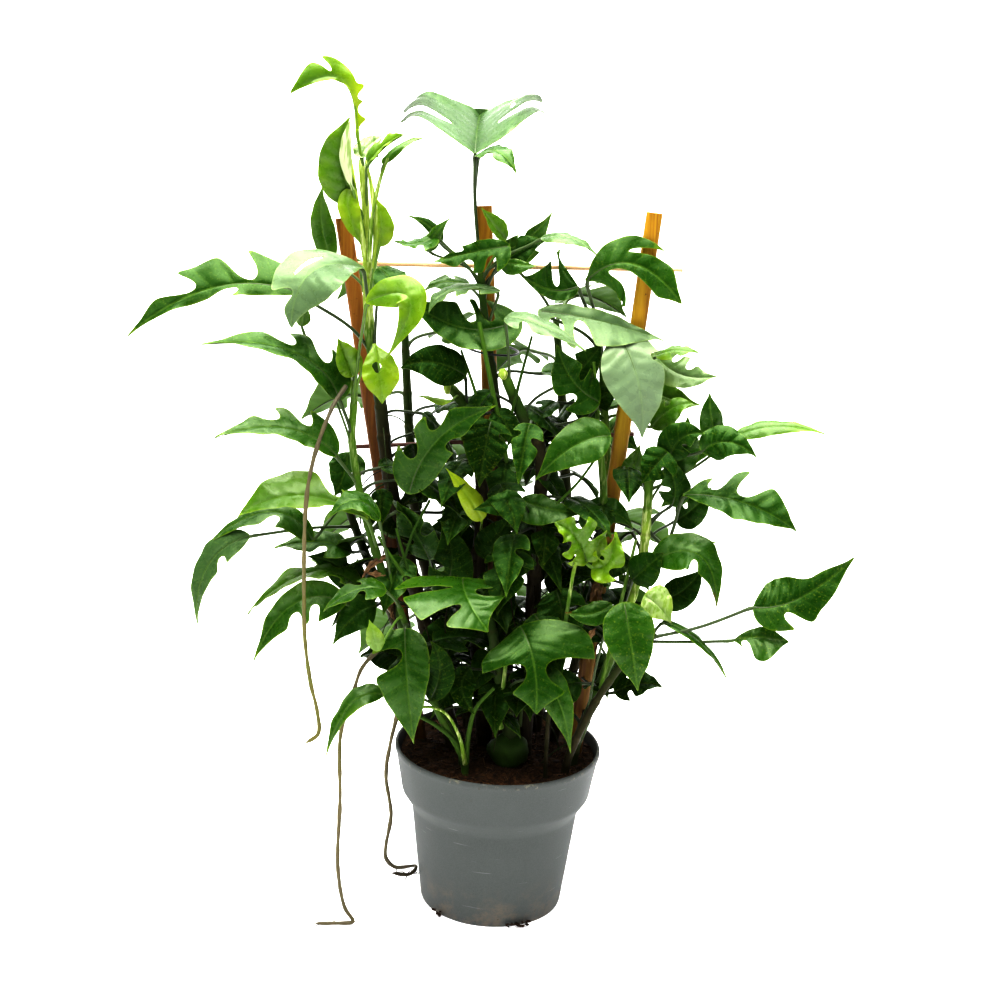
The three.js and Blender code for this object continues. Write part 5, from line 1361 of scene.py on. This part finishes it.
def pot_material():
    """Grey plastic, dusty and stained low down, with a worn rim and a few turned scratches."""
    n = Nodes("pot_plastic")
    height = n.height()
    cloud = n.noise(14, 5, 0.6)
    colour = n.ramp(cloud, (0.3, (0.056, 0.063, 0.059)), (0.7, (0.074, 0.082, 0.077)))
    grain = n.span(n.noise(1500, 1), 0.35, 0.65, 0.0, 0.22)
    colour = n.mix(grain, colour, (0.12, 0.125, 0.12))
    dust = n.times(n.span(height, 0.004, 0.045, 0.55, 0.0), n.span(n.noise(60, 5, 0.7), 0.42, 0.7))
    colour = n.mix(dust, colour, (0.17, 0.13, 0.09))
    specks = n.span(n.noise(330, 2), 0.69, 0.74, 0.0, 0.55)
    near = n.math("MAXIMUM", n.span(height, 0.11, 0.138), n.span(height, 0.03, 0.0))
    colour = n.mix(n.times(specks, near), colour, (0.05, 0.03, 0.018))
    scratch = n.span(n.noise(40, 2, 0.4, stretch=(1, 1, 22)), 0.73, 0.77, 0.0, 0.25)
    colour = n.mix(scratch, colour, (0.36, 0.38, 0.38))
    worn = n.times(n.span(height, 0.1335, 0.1355), n.span(n.noise(140, 4, 0.7), 0.54, 0.66, 0.0, 0.6))
    colour = n.mix(worn, colour, (0.24, 0.22, 0.15))
    turning = n.noise(900, 1, stretch=(0.02, 0.02, 1))
    normal = n.bump(turning, 0.00006, 0.5, n.bump(n.noise(420, 3), 0.00012, 0.5))
    return n.done(n.surface(colour, n.span(cloud, 0.3, 0.7, 0.52, 0.64), normal, specular=0.4))


def soil_material():
    n = Nodes("soil_mix")
    crumbs = n.noise(240, 6, 0.7)
    colour = n.ramp(
        crumbs, (0.25, (0.010, 0.005, 0.002)), (0.5, (0.040, 0.019, 0.007)), (0.72, (0.120, 0.056, 0.022))
    )
    light = n.span(n.noise(130, 4, 0.7), 0.60, 0.72, 0.0, 0.5)
    colour = n.mix(light, colour, (0.14, 0.085, 0.045))
    return n.done(n.surface(colour, 0.92, n.bump(crumbs, 0.0012, 0.9), specular=0.2))


def fibre_material():
    n = Nodes("soil_fibre")
    patches = n.noise(260, 3)
    colour = n.ramp(
        n.mottled(n.value("tone"), patches, 0.3),
        (0.0, (0.014, 0.007, 0.003)),
        (0.6, (0.075, 0.034, 0.013)),
        (1.0, (0.260, 0.150, 0.070)),
    )
    return n.done(n.surface(colour, 0.85, n.bump(patches, 0.0004, 0.6), specular=0.25))


def bamboo_material():
    n = Nodes("bamboo")
    tone = n.value("tone")
    streaks = n.noise(260, 5, 0.65, stretch=(1, 1, 0.035))
    broad = n.noise(26, 3, stretch=(1, 1, 0.3))
    colour = n.ramp(
        streaks,
        (0.28, (0.100, 0.036, 0.005)),
        (0.42, (0.310, 0.160, 0.008)),
        (0.60, (0.470, 0.300, 0.014)),
        (0.80, (0.580, 0.420, 0.040)),
    )
    colour = n.mix(n.span(broad, 0.35, 0.65, 0.0, 0.5), colour, (0.34, 0.160, 0.008))
    brown = n.ramp(
        streaks, (0.3, (0.070, 0.022, 0.004)), (0.5, (0.300, 0.110, 0.012)), (0.75, (0.430, 0.190, 0.028))
    )
    colour = n.mix(tone, colour, brown)
    # The browner a stake is, the higher its dark foot reaches.
    foot = n.span(n.math("SUBTRACT", n.height(), n.times(tone, 0.14)), 0.20, 0.46, 1.0, 0.0)
    colour = n.mix(n.times(foot, 0.75), colour, (0.085, 0.028, 0.008))
    spots = n.span(n.noise(170, 3), 0.66, 0.75, 0.0, 0.7)
    colour = n.mix(spots, colour, (0.045, 0.020, 0.008))
    rough = n.span(streaks, 0.3, 0.7, 0.42, 0.6)
    return n.done(n.surface(colour, rough, n.bump(streaks, 0.0005, 0.7), specular=0.3))


def stick_material():
    n = Nodes("thin_stick")
    streaks = n.noise(180, 4, 0.6, stretch=(0.06, 1, 1))
    colour = n.ramp(
        streaks, (0.3, (0.48, 0.28, 0.13)), (0.55, (0.66, 0.43, 0.24)), (0.75, (0.76, 0.55, 0.34))
    )
    # The lower stick is the darker one.
    colour = n.mix(n.span(n.height(), 0.44, 0.52, 1.0, 0.0), colour, (0.095, 0.030, 0.016))
    return n.done(n.surface(colour, 0.6, n.bump(streaks, 0.0004, 0.7)))


def tie_material():
    n = Nodes("tie_plastic")
    patches = n.noise(200, 3)
    colour = n.ramp(patches, (0.3, (0.008, 0.008, 0.008)), (0.7, (0.022, 0.022, 0.023)))
    return n.done(n.surface(colour, n.span(patches, 0.3, 0.7, 0.35, 0.5), n.bump(patches, 0.0002, 0.4)))


def root_material():
    n = Nodes("aerial_root")
    colour = n.ramp(
        n.mottled(n.value("tone"), n.noise(150, 4, 0.6), 0.35),
        (0.0, (0.035, 0.024, 0.011)),
        (0.3, (0.080, 0.066, 0.034)),
        (0.6, (0.150, 0.122, 0.050)),
        (0.8, (0.125, 0.116, 0.022)),
        (1.0, (0.130, 0.180, 0.028)),
    )
    return n.done(n.surface(colour, 0.62, n.bump(n.noise(420, 3), 0.0003, 0.7)))


def floor_material():
    """White, and glowing more the higher the floor sweeps up behind the plant."""
    n = Nodes("floor_white")
    colour = n.ramp(n.noise(3, 2), (0.3, (0.86, 0.86, 0.86)), (0.7, (0.88, 0.88, 0.88)))
    height = n.height()
    glow = n.node("ShaderNodeEmission")
    level = n.add(n.span(height, 0.0, 0.6, 0.45, 0.95), n.span(height, 0.9, 1.4, 0.0, 0.2))
    n.link(level, glow.inputs["Strength"])
    both = n.node("ShaderNodeAddShader")
    n.link(n.surface(colour, 0.9, specular=0.1), both.inputs[0])
    n.link(glow.outputs[0], both.inputs[1])
    return n.done(both.outputs[0])


# Pot and soil
BODY_TOP = (68.6, 78.0)
SHOULDER = (70.0, 86.0)
BAND_LOW = (78.4, 100.0)
FLOOR_RADIUS = 57.6
POT_SIDES = 144
DRAINS = dict(count=8, ring=43.0, radius=4.5, sides=24)
SOIL_RADIUS = 80.4
# The plug's side below its top, as (radius, height)
SOIL_SIDE = ((79.6, 122.0), (76.0, 100.4), (74.9, 98.4), (67.6, 87.6), (66.2, 78.0), (57.0, 2.7))
FIBRES = 620
FIBRE_REACH = 79.3
CHIPS = 260
# The spilled crumbs' directions, in degrees around the pot, and how many lie together
SPILLED = (-135, -72, -62)
SPILLED_EACH = 9


def pot_outline():
    """The pot's section as (radius, height): up the outside, over the rim and down the inside."""
    band_low = BAND_LOW[0]
    foot = [(FLOOR_RADIUS, 0.0), (58.6, 0.5), (POT_BASE, 1.6)]
    body = [(59.7, 6.0), (61.1, 18.0), (63.2, 34.0), (65.9, 56.0), (68.0, 73.0), BODY_TOP]
    step = [(68.9, 80.5), (69.3, 83.6), SHOULDER, (73.0, 90.8), (76.6, 96.4), (77.8, 98.2), BAND_LOW]
    rim_band = [(band_low + 0.25, 101.2), (79.6, 107.5), (81.8, 120.0), (83.9, 131.4), (84.5, 133.4)]
    rim = [(RIM_RADIUS, 134.4), (RIM_RADIUS, 136.6), (84.6, 137.6), (83.9, POT_HEIGHT), (82.9, POT_HEIGHT)]
    inside = [(82.5, 137.4), (82.2, 135.0), (80.6, 124.0), (band_low - POT_WALL, 100.0), (75.7, 98.0)]
    inside += [(SHOULDER[0] - POT_WALL, SHOULDER[1] + 1), (BODY_TOP[0] - POT_WALL, BODY_TOP[1])]
    inside += [(FLOOR_RADIUS, POT_FLOOR)]
    return foot + body + step + rim_band + rim + inside


def circle(radius, count, x=0.0, y=0.0):
    turn = round_turn(count)
    return np.stack([x + radius * np.cos(turn), y + radius * np.sin(turn)], axis=1)


def pot_piece(material):
    """The turned wall, closed below by a floor with eight drain holes."""
    outline = pot_outline()
    turn = round_turn(POT_SIDES)
    wall = np.array([(r * math.cos(t), r * math.sin(t), z) for r, z in outline for t in turn])
    faces = band(len(outline), POT_SIDES)
    rings = [circle(FLOOR_RADIUS, POT_SIDES)]
    for i in range(DRAINS["count"]):
        way = TURN * (i + 0.5) / DRAINS["count"]
        x, y = DRAINS["ring"] * math.cos(way), DRAINS["ring"] * math.sin(way)
        rings.append(circle(DRAINS["radius"], DRAINS["sides"], x, y))
    flat, cells = filled(rings)
    low = np.column_stack([flat, np.zeros(len(flat))])
    high = np.column_stack([flat, np.full(len(flat), POT_FLOOR)])
    under = len(wall)
    over = under + len(flat)
    for cell in cells:
        faces.append(tuple(under + i for i in cell[::-1]))
        faces.append(tuple(over + i for i in cell))
    # Only the drain holes get a wall here: the floor's outer edge meets the turned wall.
    for a, b in rim_of(cells):
        if np.hypot(*flat[a]) < FLOOR_RADIUS - 0.6:
            faces.append((under + a, under + b, over + b, over + a))
    builder = Builder("tone")
    builder.add(np.vstack([wall, low, high]), faces)
    builder.piece("pot", "pot_plastic", [material], sharp=38, welded=True)


def soil_height(x, y):
    share = np.hypot(x, y) / RIM_RADIUS
    mound = 3.0 * (1 - share * share)
    broad = 1.3 * np.sin(0.11 * x + 0.6) * np.cos(0.13 * y)
    fine = 0.9 * np.sin(0.23 * x - 0.19 * y)
    crumbs = 0.8 * np.sin(0.71 * x + 0.5) * np.sin(0.83 * y + 1.1)
    crumbs += 0.5 * np.sin(1.9 * x - 1.3 * y) * np.cos(1.1 * y)
    return float(SOIL_TOP + mound + broad + fine + crumbs - 0.6)


def soil_plug(rng):
    """Points and faces of the plug: a crumbly round top over the form of the pot's inside."""
    rows, count = 46, 150
    turn = round_turn(count)
    points = [(0.0, 0.0, soil_height(0.0, 0.0))]
    for i in range(1, rows + 1):
        for t in turn:
            shift = rng.uniform(-0.5, 0.5)
            r = SOIL_RADIUS * (i / rows) + (shift if i < rows else 0)
            x, y = r * math.cos(t), r * math.sin(t)
            points.append((x, y, soil_height(x, y) + rng.uniform(-0.55, 0.55)))
    for r, z in SOIL_SIDE:
        points += [(r * math.cos(t), r * math.sin(t), z) for t in turn]
    points.append((0.0, 0.0, SOIL_SIDE[-1][1]))
    rings = rows + len(SOIL_SIDE)
    faces = fan(0, 1, count) + band(rings, count, first=1, down=True)
    return points, faces + fan(len(points) - 1, 1 + (rings - 1) * count, count, back=True)


def somewhere(radius, rng):
    """A place within a radius, each as likely as any other."""
    r = radius * math.sqrt(rng.random())
    t = rng.uniform(0, TURN)
    return r * math.cos(t), r * math.sin(t)


def add_fibre(builder, rng):
    """A thin bent fibre that lies on the soil; some rise a little more."""
    x, y = somewhere(79.0, rng)
    way = rng.uniform(0, TURN)
    run = rng.uniform(3, 15)
    bend = rng.uniform(-0.5, 0.5)
    lift = rng.uniform(0.2, 1.8) + (2.0 if rng.random() < 0.12 else 0)
    path = []
    for k in range(5):
        s = (k / 4 - 0.5) * run
        px = x + s * math.cos(way) - bend * s * s / run * math.sin(way)
        py = y + s * math.sin(way) + bend * s * s / run * math.cos(way)
        far = math.hypot(px, py)
        if far > FIBRE_REACH:
            px, py = px * FIBRE_REACH / far, py * FIBRE_REACH / far
        path.append((px, py, soil_height(px, py) + 0.25 + lift * math.sin(math.pi * k / 4) * 0.6))
    radius = rng.uniform(0.18, 0.5)
    shell, faces = tube(path, np.linspace(radius, radius * 0.5, 5), 5)
    builder.add(shell, faces, slot=1, tone=rng.uniform(0.05, 0.85))


def add_chip(builder, spot, size, lightest, rng):
    """A small angular crumb with eight corners."""
    turn = rng.uniform(0, 6.28)
    long, wide, deep = [size * rng.uniform(*span) for span in ((0.8, 1.5), (0.5, 0.9), (0.25, 0.6))]
    corners = []
    for z in (-1, 1):
        for x, y in ((-1, -1), (1, -1), (1, 1), (-1, 1)):
            a = x * long * rng.uniform(0.6, 1)
            b = y * wide * rng.uniform(0.6, 1)
            c = z * deep * rng.uniform(0.6, 1)
            out = [a * math.cos(turn) - b * math.sin(turn), a * math.sin(turn) + b * math.cos(turn), c]
            corners.append(np.array(spot) + out)
    faces = [(3, 2, 1, 0), (4, 5, 6, 7), (0, 1, 5, 4), (1, 2, 6, 5), (2, 3, 7, 6), (3, 0, 4, 7)]
    builder.add(corners, faces, slot=1, smooth=False, tone=rng.uniform(0, lightest))


def soil_piece(materials):
    """The plug with fibres and chips lying on it, and a few crumbs on the floor."""
    rng = random.Random(7)
    builder = Builder("tone")
    builder.add(*soil_plug(rng))
    for _ in range(FIBRES):
        add_fibre(builder, rng)
    for _ in range(CHIPS):
        x, y = somewhere(78.0, rng)
        add_chip(builder, (x, y, soil_height(x, y) + 0.2), rng.uniform(0.8, 2.9), 0.55, rng)
    # Crumbs that fell on the floor lie against the pot's foot.
    for middle in SPILLED:
        for _ in range(SPILLED_EACH):
            way = math.radians(middle + rng.uniform(-5, 5))
            out = rng.uniform(60.6, 63.5)
            spot = (out * math.cos(way), out * math.sin(way), rng.uniform(1.0, 4.5))
            add_chip(builder, spot, rng.uniform(0.8, 1.9), 0.3, rng)
    builder.piece("soil", "soil_mix", materials)


# The stakes: foot on the soil, top as seen, where the node rings sit, how brown each is, and a wire staple
STAKES = {
    "stake_left": dict(foot=(-66, 17), top=(343, 218, -24), rings=(), brown=0.9),
    "stake_middle": dict(foot=(3, 10), top=(484, 206, -13), rings=(), brown=0.45),
    "stake_right": dict(foot=(64, 3), top=(655, 213, 0), rings=(0.18, 0.62), brown=0.0, staple=(655, 266, 4)),
}


def turned(v, axis, angle):
    """The vector v, turned round an axis of length one."""
    along = axis * (axis @ v)
    return along + (v - along) * math.cos(angle) + np.cross(axis, v) * math.sin(angle)


def stake_section():
    """A split bamboo's section as (right, back): flat at the back, rounded in front, and mirrored."""
    w, t = STAKE_WIDTH / 2, STAKE_THICK / 2
    side = [(0.3 * w, t - 0.12), (w - 0.3, t), (w, t - 0.35)]
    for k in range(1, 7):
        s = k / 6
        x = (1 - s) ** 2 * w + 2 * (1 - s) * s * w + s * s * 0.45 * w
        y = (1 - s) ** 2 * t - 2 * (1 - s) * s * t - s * s * t
        side.append((x, y))
    side.append((0.15 * w, -t - 0.05))
    return side + [(-x, y) for x, y in reversed(side)]


def stake_piece(name, materials, foot, top, rings, brown, staple=None):
    """A split bamboo strip with low node rings, sawn square at the top."""
    rng = random.Random(name)
    foot = np.array([foot[0], foot[1], SOIL_TOP])
    top = seen(*top)
    ahead = unit(top - foot)
    start = foot - ahead * STAKE_BURIED
    run = float(np.linalg.norm(top - start))
    # The strip is turned from upright by the shortest way, so that its flat face stays to the back.
    axis = np.cross([0, 0, 1], ahead)
    angle = math.asin(min(1, float(np.linalg.norm(axis))))
    right, back = [turned(np.array(v), unit(axis), angle) for v in ((1.0, 0, 0), (0, 1.0, 0))]
    section = stake_section()
    count = len(section)
    steps = int(run / 3.0)
    points = []
    for i in range(steps + 1):
        s = i / steps * run
        swell = 1.0
        for place in rings:
            off = s - STAKE_BURIED - place * (run - STAKE_BURIED)
            swell += 0.10 * math.exp(-((off / 2.2) ** 2))
        wander = 0.12 * math.sin(0.05 * s + rng.uniform(-0.05, 0.05))
        points += [start + ahead * s + right * (x * swell + wander) + back * (y * swell) for x, y in section]
    points += [start, start + ahead * run]
    low, high = len(points) - 2, len(points) - 1
    faces = band(steps + 1, count, down=True)
    faces += fan(low, 0, count) + fan(high, steps * count, count, back=True)
    builder = Builder("tone")
    builder.add(points, faces, tone=brown)
    if staple:
        middle = seen(*staple) + np.array([0, -1.2, 0])
        builder.add(*tube([middle + right * x for x in (-4.6, -2.3, 0, 2.3, 4.6)], 0.9, 8), slot=1)
    builder.piece(name, "bamboo", materials, sharp=35)


def stick_piece(name, start, end, material):
    rng = random.Random(name)
    path = evenly(np.array([seen(*start), seen(*end)]), 60)
    radii = STICK_RADIUS * (0.9 + 0.08 * np.sin(np.arange(61) * 0.4) * rng.uniform(0.5, 1))
    builder = Builder("tone")
    builder.add(*tube(path, radii, 10, wobble=0.04, rng=rng))
    builder.piece(name, "stick_wood", [material], sharp=40)


def ring_tube(loop, radius, sides):
    """Points and faces of a round wire along a closed loop."""
    ahead = units(np.roll(loop, -1, axis=0) - np.roll(loop, 1, axis=0))
    out = units(loop - loop.mean(axis=0))
    out = units(out - ahead * (out * ahead).sum(axis=1, keepdims=True))
    side = np.cross(ahead, out)
    turn = round_turn(sides)
    points = (
        loop[:, None, :]
        + (radius * np.cos(turn))[None, :, None] * out[:, None, :]
        + (radius * np.sin(turn))[None, :, None] * side[:, None, :]
    ).reshape(-1, 3)
    return points, [tuple(i % len(points) for i in face) for face in band(len(loop) + 1, sides)]


def tie_piece(material):
    """A coated wire in a slightly tilted loop round the middle stake and the stems beside it."""
    turn = round_turn(60)
    tilt = math.radians(5)
    x, y = 21 * np.cos(turn), 24 * np.sin(turn)
    loop = seen(492, 349, -8) + np.stack([math.cos(tilt) * x, y, -math.sin(tilt) * x], axis=1)
    builder = Builder("tone")
    builder.add(*ring_tube(loop, 0.85, 8))
    builder.piece("wire_tie", "tie_plastic", [material])


# The aerial roots: places as the photograph shows them, tones from the stem to the tip, short side roots
ROOTS = {
    "aerial_root_long": dict(
        route=[(346, 386, 46), (334, 404, 62), (318, 444, 74), (309, 480, 80), (305, 520, 84), (304, 600, 84),
               (305, 640, 82), (310, 680, 80), (318, 716, 80), (318, 734, 80), (306, 743, 80)],
        tones=(0.3, 0.4, 0.66, 0.82, 0.8),
        rootlets=0,
    ),
    "aerial_root_front": dict(
        route=[(380, 648, 46), (362, 668, 52), (350, 705, 56), (341, 732, 58), (340, 800, 60), (338, 870, 62),
               (345, 908, 62), (353, 934, 64), (350, 940, 66), (336, 942, 68), (314, 945, 70)],
        tones=(0.4, 0.5, 0.78, 0.5, 0.45, 0.4, 0.4),
        rootlets=2,
    ),
    "aerial_root_side": dict(
        route=[(398, 712, 6), (390, 745, 2), (386, 775, 0), (391, 815, -4), (386, 845, -6), (386, 858, -8),
               (395, 867, -10), (416, 866, -6), (410, 874, 4), (392, 873, 12)],
        tones=(0.5, 0.45, 0.4, 0.05),
        rootlets=9,
    ),
}


def add_side_root(builder, path, rng):
    """A short dark root that leaves the last tenth of an aerial root."""
    start = path[rng.randrange(len(path) * 9 // 10, len(path) - 2)]
    way = rng.uniform(0, TURN)
    out = np.array([math.cos(way), 0.6 * math.sin(way), 0.0])
    end = start + out * rng.uniform(5, 13) + np.array([0, 0, rng.uniform(-4, 3)])
    middle = 0.5 * (start + end) + np.array([rng.uniform(-2, 2), rng.uniform(-2, 2), rng.uniform(-1, 2)])
    for spot in (middle, end):
        spot[2] = max(spot[2], 0.8)
    builder.add(*tube(catmull([start, middle, end], 10), np.linspace(0.55, 0.3, 11), 6))


def root_piece(name, material, route, tones, rootlets):
    """A knobbly aerial root that thins out at its tip and never sinks into the floor."""
    rng = random.Random(name)
    points = [seen(*spot) for spot in route]
    for point in points:
        point[2] = max(point[2], ROOT_RADIUS + 0.6)
    curve = catmull(points, 300)
    steps = int(length_of(curve) / 2.0)
    path = evenly(curve, steps)
    share = np.linspace(0, 1, steps + 1)
    step = np.arange(steps + 1)
    knobs = 0.16 * np.sin(0.5 * step) * np.sin(0.23 * step + 1)
    tip = np.clip((1 - share) * steps / 3 + 0.25, 0, 1)
    radii = ROOT_RADIUS * (1.02 - 0.06 * share) * (1 + knobs) * tip
    shell, faces = tube(path, radii, ROOT_SIDES, wobble=0.06, rng=rng)
    tone = spread(tones, share)
    builder = Builder("tone")
    builder.add(shell, faces, tone=np.concatenate([np.repeat(tone, ROOT_SIDES), [tone[0], tone[-1]]]))
    for _ in range(rootlets):
        add_side_root(builder, path, rng)
    builder.piece(name, "root_bark", [material])


# The room: a pale floor that sweeps up behind, a wide soft light from above, and the photograph's camera.
def floor_sweep(material):
    profile = [(-2600.0, 0.0), (700.0, 0.0), (1100.0, 20.0), (1450.0, 120.0)]
    profile += [(1700.0, 320.0), (1850.0, 640.0), (1900.0, 1200.0), (1900.0, 3400.0)]
    points = [(x, y, z - 0.05) for y, z in profile for x in (-4000.0, 4000.0)]
    faces = [(2 * i, 2 * i + 1, 2 * i + 3, 2 * i + 2) for i in range(len(profile) - 1)]
    builder = Builder("tone")
    builder.add(points, faces)
    builder.object("floor_sweep", [material], sharp=80)


def area_light(name, spot, aim, size, power):
    data = bpy.data.lights.new(name, "AREA")
    data.shape = "RECTANGLE"
    data.size, data.size_y = size
    data.energy = power
    light = bpy.data.objects.new(name, data)
    light.location = Vector(spot)
    light.rotation_euler = (Vector(aim) - Vector(spot)).to_track_quat("-Z", "Y").to_euler()
    bpy.context.scene.collection.objects.link(light)


def camera():
    up = Vector((0, math.sin(PITCH), math.cos(PITCH)))
    right = Vector((1, 0, 0))
    back = Vector((0, -math.cos(PITCH), math.sin(PITCH)))
    x = right * math.cos(ROLL) + up * math.sin(ROLL)
    y = up * math.cos(ROLL) - right * math.sin(ROLL)
    data = bpy.data.cameras.new("photo_camera")
    data.sensor_width = 36
    data.sensor_fit = "HORIZONTAL"
    data.lens = VIEW["focal"] / PHOTO_WIDTH * data.sensor_width
    data.clip_end = 50
    eye = bpy.data.objects.new("photo_camera", data)
    turn = Matrix((x, y, back)).transposed().to_4x4()
    turn.translation = Vector((VIEW["side"], -VIEW["away"], VIEW["height"])) * MM
    eye.matrix_world = turn
    bpy.context.scene.collection.objects.link(eye)
    bpy.context.scene.camera = eye


def world():
    made = bpy.data.worlds.new("white_room")
    made.use_nodes = True
    sky = made.node_tree.nodes["Background"]
    sky.inputs[0].default_value = (1, 1, 1, 1)
    sky.inputs[1].default_value = 0.16
    bpy.context.scene.world = made


plant_materials = [leaf_material(), petiole_material(), stem_material(), dry_material()]
for vine_name, vine in VINES.items():
    vine_piece(vine_name, vine, plant_materials)
pot_piece(pot_material())
soil_piece([soil_material(), fibre_material()])
tie_plastic = tie_material()
bamboo = bamboo_material()
for stake_name, stake in STAKES.items():
    stake_piece(stake_name, [bamboo, tie_plastic], **stake)
thin_stick = stick_material()
stick_piece("stick_upper", (333, 263, -29.5), (683, 270, -5.5), thin_stick)
stick_piece("stick_lower", (350, 447, -30), (634, 434, -8.5), thin_stick)
tie_piece(tie_plastic)
aerial_root = root_material()
for root_name, root in ROOTS.items():
    root_piece(root_name, aerial_root, **root)

floor_sweep(floor_material())
world()
area_light("top_light", (-0.1, -0.05, 1.75), (0, 0, 0.3), (1.8, 1.6), 100)
area_light("front_left_light", (-1.6, -1.9, 1.7), (0, 0, 0.4), (1.1, 1.1), 16)
area_light("front_right_light", (1.9, -1.5, 1.5), (0, 0, 0.4), (0.9, 0.9), 7)
camera()
bpy.context.scene.view_settings.view_transform = "Standard"
bpy.context.scene.view_settings.gamma = 0.68
bpy.context.scene.view_settings.exposure = 0.36
